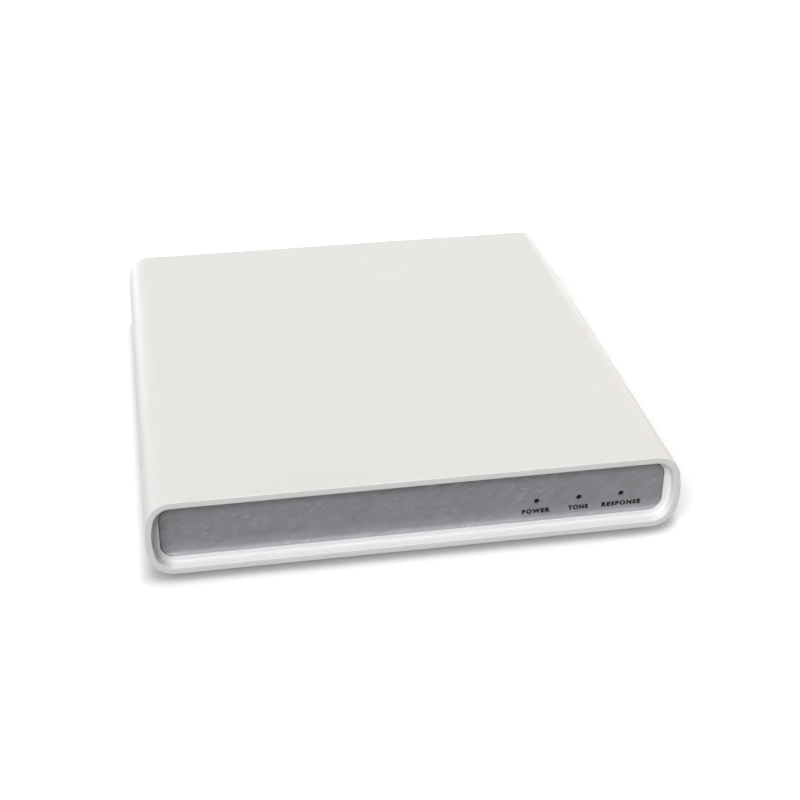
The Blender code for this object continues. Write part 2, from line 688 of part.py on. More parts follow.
def make_jacks(case):
    """Board-mounted jack sockets, each held to the rear panel by a hexagonal nut on its bushing."""
    half_x = JACK_BODY_WIDTH / 2
    half_z = JACK_BODY_HEIGHT / 2
    front = -FIT_GAP
    mouth = REAR_THICKNESS + JACK_BUSHING_PROUD
    chamfer = JACK_MOUTH_CHAMFER
    body = rounded_rectangle(half_x, half_z, JACK_BODY_ROUND, 2)
    for index, name in enumerate(JACK_NAMES):
        place = (jack_x(index), REAR_BACK_Y, socket_z(JACK_BODY_HEIGHT))
        block = stack_y([(body, front - JACK_BODY_LENGTH), (body, front)])
        jack = add_part(name, block, "black_nylon", case, place)
        bushing = (
            (JACK_BUSHING_RADIUS, front - JACK_BODY_ROUND),
            (JACK_BUSHING_RADIUS, mouth - chamfer),
            (JACK_BUSHING_RADIUS - chamfer, mouth),
        )
        fuse(jack, turned_y(bushing, BORE_STEPS), "bushing")
        bore = (
            (JACK_BORE_RADIUS, mouth - JACK_BORE_LENGTH),
            (JACK_BORE_RADIUS, mouth - chamfer),
            (JACK_BORE_RADIUS + chamfer, mouth),
            (JACK_BORE_RADIUS + chamfer, mouth + CUT_OVERRUN),
        )
        cut(jack, turned_y(bore, BORE_STEPS), "bore")
        for slot in range(2):
            start = front - JACK_WINDOW_SETBACK - slot * (JACK_WINDOW_LENGTH + JACK_WINDOW_WIDTH)
            middle = (0, start - JACK_WINDOW_LENGTH / 2)
            window = rounded_rectangle(JACK_WINDOW_WIDTH / 2, JACK_WINDOW_LENGTH / 2,
                                       JACK_WINDOW_WIDTH / 4, 2, middle)
            cut(jack, stack_z([(window, 0), (window, half_z + CUT_OVERRUN)]), "window_%d" % slot)


def make_jack_nuts(case):
    """Thin hexagonal nuts with turned-down corners."""
    corner = NUT_ACROSS_FLATS / math.sqrt(3)
    low = FIT_GAP
    high = FIT_GAP + NUT_THICKNESS
    hexagon = circle(corner, 6)
    dome = (
        (corner + CUT_OVERRUN, low - CUT_OVERRUN),
        (corner + CUT_OVERRUN, high - NUT_CORNER_DROP),
        (NUT_ACROSS_FLATS / 2 - NUT_CORNER_DROP / 4, high),
    )
    hole = JACK_BUSHING_RADIUS + FIT_GAP
    for index, name in enumerate(JACK_NAMES):
        place = (jack_x(index), REAR_FACE_Y, socket_z(JACK_BODY_HEIGHT))
        blank = stack_y([(hexagon, low), (hexagon, high)])
        nut = add_part(name + "_nut", blank, "nickel_brass", case, place)
        combine(nut, turned_y(dome, BORE_STEPS), "INTERSECT", "corner_turning")
        bore = ((hole, low - CUT_OVERRUN), (hole, high + CUT_OVERRUN))
        cut(nut, turned_y(bore, BORE_STEPS), "bore")


def make_usb_socket(case):
    """Square data socket: a plated shell round a plastic insert with its contact tongue."""
    place = (CASE_WIDTH * USB_PLACE_SHARE, REAR_FACE_Y + FIT_GAP, socket_z(USB_HEIGHT))
    outer = rounded_rectangle(USB_WIDTH / 2, USB_HEIGHT / 2, USB_SHELL_ROUND, 2)
    shell = add_part("usb_shell", stack_y([(outer, -USB_LENGTH), (outer, 0)]), "tin_plate", case, place)
    mouth = usb_mouth(0)
    cut(shell, stack_y([(mouth, -USB_MOUTH_DEPTH), (mouth, CUT_OVERRUN)]), "mouth")
    seat = -USB_MOUTH_DEPTH + FIT_GAP
    base = usb_mouth(FIT_GAP)
    slab = stack_y([(base, seat), (base, seat + USB_BASE_DEPTH)])
    insert = add_part("usb_insert", slab, "black_nylon", case, place)
    half_x = USB_TONGUE_WIDTH / 2
    half_z = USB_TONGUE_HEIGHT / 2
    round_edge = USB_TONGUE_HEIGHT / 8
    tongue = rounded_rectangle(half_x, half_z, round_edge, 2)
    fuse(insert, stack_y([(tongue, seat + USB_BASE_DEPTH / 2), (tongue, -USB_TONGUE_SETBACK)]), "tongue")


def make_supply_inlet(case):
    """Low-voltage inlet with a centre pin, for a plug-in adapter."""
    place = (CASE_WIDTH * DC_INLET_PLACE_SHARE, REAR_FACE_Y + FIT_GAP, socket_z(INLET_HEIGHT))
    body = inlet_outline(0)
    inlet = add_part("supply_inlet", stack_y([(body, -INLET_LENGTH), (body, 0)]), "black_nylon", case, place)
    bore_z = INLET_HEIGHT / 2 - INLET_WIDTH / 2
    bore = ((INLET_BORE_RADIUS, -INLET_BORE_DEPTH), (INLET_BORE_RADIUS, CUT_OVERRUN))
    cut(inlet, turned_y(bore, BORE_STEPS, (0, bore_z)), "bore")
    pin = (
        (INLET_PIN_RADIUS, -INLET_BORE_DEPTH + FIT_GAP),
        (INLET_PIN_RADIUS, -INLET_PIN_SETBACK - INLET_PIN_NOSE),
        (INLET_PIN_RADIUS - INLET_PIN_NOSE, -INLET_PIN_SETBACK),
    )
    add_part("supply_inlet_pin", turned_y(pin, LAMP_STEPS, (0, bore_z)), "nickel_brass", case, place)


def rocker_reach():
    """Radius about the pivot that the rocker's ends sweep, and the angle of their upper edge."""
    lift = ROCKER_CREST + ROCKER_HALF_LENGTH * math.tan(math.radians(ROCKER_TILT))
    return math.hypot(ROCKER_HALF_LENGTH, lift), math.degrees(math.atan2(lift, ROCKER_HALF_LENGTH))


def make_power_switch(case):
    """Rocker switch: a housing in the rear panel and a rocker on two trunnions, at rest in off."""
    place = (CASE_WIDTH * SWITCH_PLACE_SHARE, REAR_FACE_Y, socket_z(SWITCH_HEIGHT))
    pivot_y = SWITCH_PROUD - ROCKER_PIVOT_DROP
    outer = rounded_rectangle(SWITCH_WIDTH / 2, SWITCH_HEIGHT / 2, SWITCH_CORNER_RADIUS, SMALL_ROUND_STEPS)
    sections = [(outer, SWITCH_PROUD - SWITCH_LENGTH), (outer, SWITCH_PROUD)]
    housing = add_part("switch_housing", stack_y(sections), "black_nylon", case, place)
    reach, edge_angle = rocker_reach()
    half_z = SWITCH_HEIGHT / 2 - SWITCH_WALL
    well = rounded_rectangle(reach + FIT_GAP, half_z, FIT_GAP, 1)
    well_y = pivot_y - ROCKER_KEEL_DEPTH - SWITCH_WELL_FLOOR
    cut(housing, stack_y([(well, well_y), (well, SWITCH_PROUD + CUT_OVERRUN)]), "well")
    bearing = TRUNNION_RADIUS + FIT_GAP
    end = half_z + TRUNNION_LENGTH + FIT_GAP
    cut(housing, turned_z(((bearing, -end), (bearing, end)), LAMP_STEPS, (0, pivot_y)), "bearing")

    pivot = add_frame("rocker_pivot", (place[0], place[1] + pivot_y, place[2]), case)
    pivot.rotation_euler = (0, 0, math.radians(-ROCKER_TILT))
    right = arc((0, 0), reach, -ROCKER_SKIRT_ANGLE, edge_angle, SMALL_ROUND_STEPS)
    left = [(-x, y) for x, y in reversed(right)]
    keel = [(-ROCKER_KEEL_HALF_WIDTH, -ROCKER_KEEL_DEPTH), (ROCKER_KEEL_HALF_WIDTH, -ROCKER_KEEL_DEPTH)]
    outline = right + [(0, ROCKER_CREST)] + left + keel
    half = half_z - FIT_GAP
    rocker = add_part("power_rocker", stack_z([(outline, -half), (outline, half)]), "black_nylon", pivot)
    length = half + FIT_GAP + TRUNNION_LENGTH
    fuse(rocker, turned_z(((TRUNNION_RADIUS, -length), (TRUNNION_RADIUS, length)), LAMP_STEPS), "trunnions")


def make_feet():
    """Four turned rubber feet under the corners of the case."""
    steps = SMALL_ROUND_STEPS
    edge = FOOT_RADIUS - FOOT_TAPER - FOOT_EDGE_ROUND
    profile = [(edge + x, FOOT_EDGE_ROUND + z) for x, z in arc((0, 0), FOOT_EDGE_ROUND, -90, 0, steps)]
    profile.append((FOOT_RADIUS, FOOT_HEIGHT - FIT_GAP))
    for end, side, side_x, side_y in FOUR_CORNERS:
        place = (side_x * (CASE_WIDTH / 2 - FOOT_SIDE_INSET), side_y * (CASE_DEPTH / 2 - FOOT_END_INSET), 0)
        add_part("foot_%s_%s" % (end, side), turned_z(profile, FOOT_STEPS), "grey_rubber", None, place)


def board_place(share):
    """Place on the board from shares of its half width and half depth."""
    half_x = CASE_WIDTH / 2 - CASE_WALL - GUIDE_REACH
    half_y = (BOARD_REAR_Y - BOARD_FRONT_Y) / 2
    middle_y = (BOARD_REAR_Y + BOARD_FRONT_Y) / 2
    return share[0] * half_x, middle_y + share[1] * half_y, BOARD_SEAT


def make_main_board(case):
    """Circuit board that slides in the sleeve's guides and carries the lamps and the rear sockets."""
    half_x = case_half_width(BOARD_BOTTOM, CASE_WALL) - BOARD_EDGE_GAP
    half_y = (BOARD_REAR_Y - BOARD_FRONT_Y) / 2
    middle = (0, (BOARD_REAR_Y + BOARD_FRONT_Y) / 2)
    outline = rounded_rectangle(half_x, half_y, BOARD_CORNER_RADIUS, SMALL_ROUND_STEPS, middle)
    add_part("main_board", stack_z([(outline, BOARD_BOTTOM), (outline, BOARD_TOP)]), "green_laminate", case)


def make_chip(name, size, share, case):
    """Flat chip with sloping upper edges."""
    half = size / 2
    base = rounded_rectangle(half, half, CHIP_CHAMFER, 1)
    top = rounded_rectangle(half - CHIP_CHAMFER, half - CHIP_CHAMFER, CHIP_CHAMFER / 2, 1)
    sections = [(base, 0), (base, CHIP_HEIGHT - CHIP_CHAMFER), (top, CHIP_HEIGHT)]
    add_part(name, stack_z(sections), "mould_compound", case, board_place(share))


def make_relays(case):
    """Two output relays, one for each earphone."""
    outline = rounded_rectangle(RELAY_WIDTH / 2, RELAY_LENGTH / 2, RELAY_ROUND, 2)
    edge = RELAY_ROUND / 2
    top = rounded_rectangle(RELAY_WIDTH / 2 - edge, RELAY_LENGTH / 2 - edge, edge, 2)
    sections = [(outline, 0), (outline, RELAY_HEIGHT - edge), (top, RELAY_HEIGHT)]
    for name, share in RELAY_PLACE_SHARES.items():
        add_part(name, stack_z(sections), "relay_white", case, board_place(share))


def make_capacitors(case):
    """Row of rolled-can supply capacitors."""
    radius = CAPACITOR_RADIUS
    groove = CAPACITOR_GROOVE
    profile = (
        (radius - groove, 0),
        (radius, groove),
        (radius, CAPACITOR_GROOVE_HEIGHT - groove),
        (radius - groove, CAPACITOR_GROOVE_HEIGHT),
        (radius, CAPACITOR_GROOVE_HEIGHT + groove),
        (radius, CAPACITOR_HEIGHT - CAPACITOR_ROUND),
        (radius - CAPACITOR_ROUND, CAPACITOR_HEIGHT),
    )
    start = board_place(CAPACITOR_ROW_SHARE)
    for number in range(3):
        place = (start[0] + (number - 1) * CAPACITOR_PITCH, start[1], start[2])
        can = turned_z(profile, HOLE_STEPS)
        add_part("supply_capacitor_%d" % (number + 1), can, "sleeve_film", case, place)


def make_inductor(case):
    """Shielded supply inductor with cut-off corners."""
    half = INDUCTOR_SIZE / 2
    outline = rounded_rectangle(half, half, INDUCTOR_CHAMFER, 1)
    add_part("supply_inductor", stack_z([(outline, 0), (outline, INDUCTOR_HEIGHT)]), "ferrite", case,
             board_place(INDUCTOR_PLACE_SHARE))


def make_output_shield(case):
    """Pressed tin lid over the tone converter, open below."""
    wall = SHIELD_WALL
    outer = rounded_rectangle(SHIELD_WIDTH / 2, SHIELD_LENGTH / 2, SHIELD_CORNER_RADIUS, SMALL_ROUND_STEPS)
    inner = rounded_rectangle(SHIELD_WIDTH / 2 - wall, SHIELD_LENGTH / 2 - wall,
                              SHIELD_CORNER_RADIUS - wall, SMALL_ROUND_STEPS)
    shield = add_part("output_shield", stack_z([(outer, 0), (outer, SHIELD_HEIGHT)]), "tin_plate", case,
                      board_place(CODEC_PLACE_SHARE))
    cut(shield, stack_z([(inner, -CUT_OVERRUN), (inner, SHIELD_HEIGHT - wall)]), "inside")


def make_heat_sink(case):
    """Extruded heat sink of the supply regulator, with upright fins."""
    half = SINK_WIDTH / 2
    pitch = (SINK_WIDTH - SINK_FIN_THICKNESS) / (SINK_FINS - 1)
    outline = [(-half, 0), (half, 0)]
    for fin in reversed(range(SINK_FINS)):
        left = -half + fin * pitch
        right = left + SINK_FIN_THICKNESS
        if fin < SINK_FINS - 1:
            outline.append((right, SINK_BASE))
        outline.append((right, SINK_HEIGHT))
        outline.append((left, SINK_HEIGHT))
        if fin > 0:
            outline.append((left, SINK_BASE))
    sections = [(outline, -SINK_LENGTH / 2), (outline, SINK_LENGTH / 2)]
    place = board_place(SINK_PLACE_SHARE)
    add_part("regulator_heat_sink", stack_y(sections), "black_aluminium", case, place)


def make_crystal(case):
    """Clock crystal in its oblong can."""
    radius = CRYSTAL_WIDTH / 2
    outline = rounded_rectangle(radius, CRYSTAL_LENGTH / 2, radius, CORNER_STEPS)
    add_part("clock_crystal", stack_z([(outline, 0), (outline, CRYSTAL_HEIGHT)]), "tin_plate", case,
             board_place(CRYSTAL_PLACE_SHARE))


def main():
    clear_objects()
    case = add_frame("case_middle", (0, 0, CASE_MID_Z))
    make_case_sleeve(case)
    make_front_bezel(case)
    make_front_panel(case)
    make_light_pipes(case)
    make_leds(case)
    make_screws(case)
    make_rear_panel(case)
    make_jacks(case)
    make_jack_nuts(case)
    make_usb_socket(case)
    make_supply_inlet(case)
    make_power_switch(case)
    make_feet()
    make_main_board(case)
    make_chip("signal_processor", PROCESSOR_SIZE, PROCESSOR_PLACE_SHARE, case)
    make_chip("tone_converter", CODEC_SIZE, CODEC_PLACE_SHARE, case)
    make_chip("data_link_chip", LINK_CHIP_SIZE, LINK_CHIP_PLACE_SHARE, case)
    make_relays(case)
    make_capacitors(case)
    make_inductor(case)
    make_output_shield(case)
    make_heat_sink(case)
    make_crystal(case)


main()
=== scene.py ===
"""Looks of a desktop audiometer: fine outer shapes and the finish of every surface.

Metres, in the frame of the packed solids: +Z up, the front towards -Y, the feet on the floor.
"""
import json
import math
from functools import partial

import bmesh
import bpy
from bpy.props import FloatProperty, FloatVectorProperty, PointerProperty
from mathutils import Matrix, Vector


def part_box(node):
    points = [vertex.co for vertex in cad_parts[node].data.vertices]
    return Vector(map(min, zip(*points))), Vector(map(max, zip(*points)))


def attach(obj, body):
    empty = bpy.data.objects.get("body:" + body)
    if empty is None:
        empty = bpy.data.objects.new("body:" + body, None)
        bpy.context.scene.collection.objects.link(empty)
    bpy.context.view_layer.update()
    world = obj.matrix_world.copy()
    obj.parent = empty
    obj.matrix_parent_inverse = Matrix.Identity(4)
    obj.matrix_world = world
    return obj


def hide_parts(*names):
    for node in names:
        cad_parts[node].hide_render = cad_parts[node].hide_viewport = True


bl_info = {
    "name": "Audiometer looks",
    "version": (1, 0, 0),
    "blender": (4, 5, 0),
    "location": "View3D > Sidebar > Audiometer",
    "description": "Dresses the packed solids of a desktop audiometer",
    "category": "Add Mesh",
}

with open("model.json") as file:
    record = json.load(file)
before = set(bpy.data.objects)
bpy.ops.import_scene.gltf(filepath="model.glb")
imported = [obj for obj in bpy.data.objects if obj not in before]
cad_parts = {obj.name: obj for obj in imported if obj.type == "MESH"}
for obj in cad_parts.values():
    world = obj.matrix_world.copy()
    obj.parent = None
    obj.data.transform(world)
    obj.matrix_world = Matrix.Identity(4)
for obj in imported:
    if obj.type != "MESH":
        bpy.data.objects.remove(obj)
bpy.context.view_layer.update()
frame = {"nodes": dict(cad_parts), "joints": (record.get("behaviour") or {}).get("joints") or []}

# Shared distances and directions
FIT_GAP = 0.0003  # between pieces that fit together, as in the solids
SEAM = 0.0001  # between pieces that look pressed together
HAIRLINE = 0.00003  # between faces that seem to touch
OVERLAP = 0.00002  # step of a printed film, and the widest weld
SHARP_ANGLE = math.radians(35)
FULL_TURN = math.radians(360)
QUARTER_TURN = math.radians(90)
TRAVEL = Vector((0, 1, 0))
UP = Vector((0, 0, 1))

# Facet counts
CORNER_SEGMENTS = 20
SIDE_SEGMENTS = 8
ROUND_SEGMENTS = 4
BORE_SEGMENTS = 48
SMALL_SEGMENTS = 24

# Rows of like pieces
LAMPS = {  # width of the word under each, and its shift from the lamp
    "power": (0.0114, -0.00015), "tone": (0.0081, -0.00015), "response": (0.0159, 0.0003)}
JACKS = {"response_jack": "RESPONSE", "left_phone_jack": "LEFT", "right_phone_jack": "RIGHT"}
CORNERS = [(side_x, side_z) for side_x in (-1, 1) for side_z in (-1, 1)]
SCREWS = range(1, len(CORNERS) + 1)

# Letters, fitted to the photograph
WORD_STRETCH = 1.1
LETTER_BOLDNESS = 0.062
LETTER_SPACING = 1.25
LETTER_STEPS = 6

# Case: slit in the screw ports, and where their stalks start
PORT_SLIT = math.radians(70)
STALK_SHARE = 0.8

# Countersunk screws, in shares of the head's radius
SHANK_SHARE = 0.42
LAND_SHARE = 0.06
RECESS_MOUTH = (0.52, 0.15)
RECESS_FLOOR = (0.26, 0.11)
RECESS_DEPTH = 0.42

# Bore behind a lamp, in shares of the light pipe's flange
LAMP_BORE_SHARE = 0.8

# Smooth noses, as (radius, way back from the tip) in shares of the full radius
LAMP_DOME = ((0, 0), (0.5, 0.05), (0.85, 0.2), (1, 0.45))
PIN_NOSE = ((1, 1), (0.88, 0.45), (0.5, 0.1), (0, 0))

# Sockets on the rear plate
SOCKET_CORNER = 0.0008
THREAD_RINGS = 2
NUT_CUT_TILT = math.radians(28)
MOUTH_CHAMFER = 0.0016
TONGUE_HALF_WIDTH = 0.0028
TONGUE_HALF_HEIGHT = 0.0016
TONGUE_ROUND = 0.0004
CONTACT_SPREAD = 0.00125
CONTACT_HALF_WIDTH = 0.0005
CONTACT_SETBACK = 0.0009
INLET_BORE_RADIUS = 0.00315
SPRING_SHARE = 0.7  # of the pin's radius

# Rocker switch
SWITCH_WALL = 0.0012
SWITCH_ROUND = 0.0004
SWITCH_WELL_DEPTH = 0.0046  # behind the pivot
ROCKER_HALF_LENGTH = 0.0072
ROCKER_TILT = math.radians(10)
ROCKER_SKIRT = math.radians(8)
ROCKER_CREST = 0.0023
ROCKER_KEEL = (0.003, -0.0022)
ROCKER_ROUND = 0.0002
MARK_PLACE_SHARE = 0.52
RING_RADII = (0.00075, 0.00112)
BAR_HALF_WIDTH = 0.0002
BAR_HALF_HEIGHT = 0.00115

# Feet
FOOT_ROUND = 0.0006
FOOT_TAPER = 0.0007

# Finishes: sizes of the patterns in metres, and strengths
PLASTIC_IOR = 1.53
FLOW_PATCH = 0.06
GLOSS_PATCH = 0.025
GRAIN_DEPTH = 0.05  # in shares of the grain's width
GRAIN_STRENGTH = 0.2
PLATING_PATCH = 0.0006
TOOL_MARK = 0.00012  # real marks are about 0.05 mm apart, and are drawn coarser so that they show
TOOL_MARK_DEPTH = 0.04
FILM_SLANT = math.radians(-30)
FILM_STRETCH = 2.6
FILM_STREAK = 0.0019
FILM_FLECK = 0.0014
FILM_CLUSTER = 0.014
FILM_CLOUD = 0.011
FILM_GLOSS = 0.0013
FILM_DEPTH = 0.0003

# Studio, matched to the photograph's light
SUNS = {  # direction from the object, strength, spread in degrees, colour
    "key_light": ((-0.447, -0.594, 0.669), 3.15, 44, (0.98, 0.985, 1.0)),
    "right_light": ((0.77, 0.28, 0.57), 1.35, 60, (1.0, 0.972, 0.925)),
}
STRIP_WIDTH = 1.2
STRIP_DISTANCE = 0.5
STRIP_POWER = 1.2
STRIP_BELOW_TOP = 0.004
STRIP_LIFT = 0.001
FILL_COLOUR = (0.96, 0.965, 1.0, 1)
FILL_STRENGTH = 0.07
FLOOR_SIZE = 6.0
FLOOR_BOUNCE = (0.18, 0.18, 0.2, 1)  # what the floor sends back to the object
FLOOR_GLOW = 0.22
# Painted contact shade on the floor: its reach, the occlusion where it starts, and its darkest level
CONTACT_REACH = 0.009
CONTACT_OPENNESS = 0.5
CONTACT_DARKNESS = 0.27

# Camera, fitted to the photograph's edges
CAMERA_PLACE = (-0.094523, -0.595211, 0.345729)
CAMERA_TURN = (60.661, -0.154, -10.091)
CAMERA_LENS_MM = 69.258
CAMERA_SENSOR_MM = 36.0

MADE_FINISHES = {}


def linear(hex_colour):
    """Scene colour of an sRGB hex value."""
    values = [int(hex_colour[i:i + 2], 16) / 255 for i in (0, 2, 4)]
    return [v / 12.92 if v <= 0.04045 else ((v + 0.055) / 1.055) ** 2.4 for v in values]


def length(label, description, default):
    return FloatProperty(name=label, description=description, default=default, min=0.0,
                         unit="LENGTH", precision=5)


def colour(label, description, hex_colour):
    return FloatVectorProperty(name=label, description=description, default=linear(hex_colour),
                               min=0.0, max=1.0, size=3, subtype="COLOR")


class CaseSizes(bpy.types.PropertyGroup):
    """Section of the case and its rounded edges."""
    corner_radius: length("Corner radius", "Radius of the four long edges", 0.0099)
    side_radius: length("Side radius", "Radius of the bowed sides", 0.034)
    wall: length("Wall", "Thickness of the sleeve", 0.0028)
    rim_round: length("Rim round", "Rounding of the outer edge of both rims", 0.00032)
    mouth_round: length("Mouth round", "Rounding of the inner edge of both rims", 0.0004)
    port_radius: length("Port radius", "Outer radius of the screw ports", 0.0023)
    port_hole_radius: length("Port hole radius", "Radius of the screw ports' holes", 0.0013)
    guide_reach: length("Guide reach", "How far the board guides stand out", 0.0034)
    guide_thickness: length("Guide thickness", "Thickness of one board guide", 0.0014)


class FrontSizes(bpy.types.PropertyGroup):
    """Front plate, silver panel, lamp holes and words."""
    plate_thickness: length("Plate thickness", "Thickness of the front plate", 0.004)
    cove_radius: length("Cove radius", "Radius of the hollow edge round the plate", 0.0006)
    pocket_radius: length("Pocket radius", "Corner radius of the panel's pocket", 0.0055)
    pocket_round: length("Pocket round", "Rounding of the pocket's edge", 0.00018)
    panel_round: length("Panel round", "Rounding of the panel's edge", 0.00015)
    panel_recess: length("Panel recess", "How far the panel lies behind the plate's face", 0.0005)
    lamp_hole_radius: length("Lamp hole radius", "Radius of the holes in the panel", 0.0011)
    word_height: length("Word height", "Height of the capitals", 0.0021)
    word_drop: length("Word drop", "From the lamps down to the middle of the words", 0.0045)


class RearSizes(bpy.types.PropertyGroup):
    """Rear plate, sockets, nuts and words."""
    hole_round: length("Hole round", "Rounding of the cut-outs in the plate", 0.0002)
    bushing_radius: length("Bushing radius", "Outer radius of the jack bushings", 0.0044)
    bore_radius: length("Bore radius", "Radius of the jack bores", 0.0033)
    nut_flats: length("Nut flats", "Distance across the flats of the jack nuts", 0.0116)
    word_height: length("Word height", "Height of the capitals", 0.0018)
    word_level: length("Word level", "Height of the words above the floor", 0.0106)


class Finishes(bpy.types.PropertyGroup):
    """Colours of the finishes."""
    case_plastic: colour("Case plastic", "White ABS of the case", "E9E7E3")
    plate_plastic: colour("Plate plastic", "White ABS of the front plate", "E6E6E7")
    panel_film: colour("Panel film", "Metallised film of the front panel", "808083")
    printing_ink: colour("Printing ink", "Screen-printed words", "060607")
    lamp_plastic: colour("Lamp plastic", "Smoked acrylic of the lamp tips", "060607")
    socket_plastic: colour("Socket plastic", "Black nylon of the sockets", "1A1A1B")
    rocker_plastic: colour("Rocker plastic", "Black plastic of the rocker", "131314")
    marking_paint: colour("Marking paint", "White marks on the rocker", "E8E8E6")
    foot_rubber: colour("Foot rubber", "Grey rubber of the feet", "3C3C3E")
    board_mask: colour("Board mask", "Green solder mask of the board", "1B5B34")


def box_middle(node):
    low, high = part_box(node)
    return (low + high) / 2


def box_half(node):
    low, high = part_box(node)
    return (high - low) / 2


def centre_of(node):
    """Centre of a node in the plane across Y, as (x, z)."""
    middle = box_middle(node)
    return middle.x, middle.z


def add_node(tree, kind, values=None, **settings):
    """Add a node; values maps its inputs to plain values or to the outputs that feed them."""
    node = tree.nodes.new(kind)
    for key, value in settings.items():
        setattr(node, key, value)
    for key, value in (values or {}).items():
        if isinstance(value, bpy.types.NodeSocket):
            tree.links.new(value, node.inputs[key])
        else:
            node.inputs[key].default_value = value
    return node


def new_material(name, base, roughness, **constants):
    """Material with its constants set on the shader, and the Object coordinates to draw on."""
    material = bpy.data.materials.new(name)
    material.use_nodes = True
    tree = material.node_tree
    shader = tree.nodes["Principled BSDF"]
    shader.inputs["Base Color"].default_value = (*base, 1.0)
    shader.inputs["Roughness"].default_value = roughness
    for key, value in constants.items():
        shader.inputs[key.replace("_", " ")].default_value = value
    material.diffuse_color = (*base, 1.0)
    return material, tree, shader, add_node(tree, "ShaderNodeTexCoord").outputs["Object"]


def patches(tree, place, size, low, high, detail=2.0, span=(0.3, 0.7)):
    """Soft patches of a given size in metres, spread from low to high over a span of the noise."""
    noise = add_node(tree, "ShaderNodeTexNoise",
                     {"Vector": place, "Scale": 1 / size, "Detail": detail, "Roughness": 0.55})
    spread = add_node(tree, "ShaderNodeMapRange",
                      {"Value": noise.outputs["Fac"], "From Min": span[0], "From Max": span[1],
                       "To Min": low, "To Max": high})
    return spread.outputs["Result"]


def dress(tree, shader, base, shade=None, gloss=None, relief=None):
    """Lead patterns to the shader: base colour times shade, roughness, and a relief given as
    (height pattern, depth in metres, strength)."""
    if shade is not None:
        scaled = add_node(tree, "ShaderNodeVectorMath", {0: base, "Scale": shade}, operation="SCALE")
        tree.links.new(scaled.outputs["Vector"], shader.inputs["Base Color"])
    if gloss is not None:
        tree.links.new(gloss, shader.inputs["Roughness"])
    if relief is not None:
        height, depth, strength = relief
        bump = add_node(tree, "ShaderNodeBump",
                        {"Height": height, "Distance": depth, "Strength": strength})
        tree.links.new(bump.outputs["Normal"], shader.inputs["Normal"])


def soft_finish(name, base, roughness, shade, gloss=None, relief=None, **constants):
    """Material with soft patches in its shade, its gloss and its relief.

    shade and gloss hold size, low, high; relief holds size, detail, depth and strength.
    """
    material, tree, shader, place = new_material(name, base, roughness, **constants)
    if relief:
        size, detail, depth, strength = relief
        relief = (patches(tree, place, size, 0.0, 1.0, detail), depth, strength)
    dress(tree, shader, base, patches(tree, place, *shade), gloss and patches(tree, place, *gloss),
          relief)
    return material


def moulded_plastic(name, base, roughness, grain, uneven=0.02, **constants):
    """Injection-moulded plastic: an even colour, with the fine spark-eroded grain of its mould.

    Real grains are 0.05 to 0.1 mm wide; they are drawn two to four times as wide, so that they show.
    """
    return soft_finish(name, base, roughness, (FLOW_PATCH, 1 - uneven, 1 + uneven / 2),
                       (GLOSS_PATCH, roughness * 0.94, roughness * 1.06),
                       (grain, 3.0, grain * GRAIN_DEPTH, GRAIN_STRENGTH), IOR=PLASTIC_IOR, **constants)


def plated_metal(name, hex_colour, roughness):
    """Plated metal: bright, slightly uneven in gloss, with shallow marks of turning or pressing."""
    return soft_finish(name, linear(hex_colour), roughness, (PLATING_PATCH * 4, 0.92, 1.05),
                       (PLATING_PATCH, roughness * 0.75, roughness * 1.3),
                       (TOOL_MARK, 2.0, TOOL_MARK * TOOL_MARK_DEPTH, 0.3), Metallic=1.0)


def make_panel_film(finishes):
    """Metallised polyester film under a matt lacquer: half metal glow, half pigment, with slanting
    broken streaks and a few bright flecks, both about 1.5 to 2 mm apart as in the photograph.

    Soft fades paint light and shade on it: a painted reflection of the white lip below makes its lower
    edge lighter, and painted shade under the upper lip and beside the left wall makes its upper and left
    edges darker.
    """
    base = finishes.panel_film
    material, tree, shader, place = new_material("polyester_film_metallised", base, 0.5, Metallic=0.6)
    slanted = add_node(tree, "ShaderNodeMapping",
                       {"Vector": place, "Rotation": (0, FILM_SLANT, 0), "Scale": (FILM_STRETCH, 1, 1)},
                       vector_type="TEXTURE").outputs["Vector"]
    streaks = patches(tree, slanted, FILM_STREAK, 0.925, 1.075, 3.0)
    flecks = patches(tree, slanted, FILM_FLECK, 0.0, 0.36, 3.0, (0.56, 0.74))
    where = patches(tree, place, FILM_CLUSTER, 0.0, 1.0, 1.0, (0.42, 0.62))
    both = add_node(tree, "ShaderNodeMath", {0: flecks, 1: where, 2: streaks},
                    operation="MULTIPLY_ADD").outputs["Value"]
    shade = patches(tree, place, FILM_CLOUD, 0.96, 1.04)
    axes = add_node(tree, "ShaderNodeSeparateXYZ", {"Vector": place}).outputs
    low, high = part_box("front_panel")
    # Painted light and shade, one row per edge as axis, edge, reach and lightness: a lightness above 1 is
    # a painted reflection, below 1 painted shade
    for axis, edge, reach, lightness in (("Z", low.z, 0.0075, 1.4), ("Z", low.z, 0.0028, 1.62),
                                         ("Z", high.z, -0.004, 0.72), ("X", low.x, 0.004, 0.8)):
        painted_edge_light = add_node(tree, "ShaderNodeMapRange",
                        {"Value": axes[axis], "From Min": edge, "From Max": edge + reach,
                         "To Min": lightness, "To Max": 1.0}, interpolation_type="SMOOTHSTEP")
        shade = add_node(tree, "ShaderNodeMath", {0: shade, 1: painted_edge_light.outputs["Result"]},
                         operation="MULTIPLY").outputs["Value"]
    whole = add_node(tree, "ShaderNodeMath", {0: both, 1: shade}, operation="MULTIPLY")
    dress(tree, shader, base, shade=whole.outputs["Value"],
          gloss=patches(tree, slanted, FILM_GLOSS, 0.44, 0.58, 3.0), relief=(both, FILM_DEPTH, 0.5))
    return material


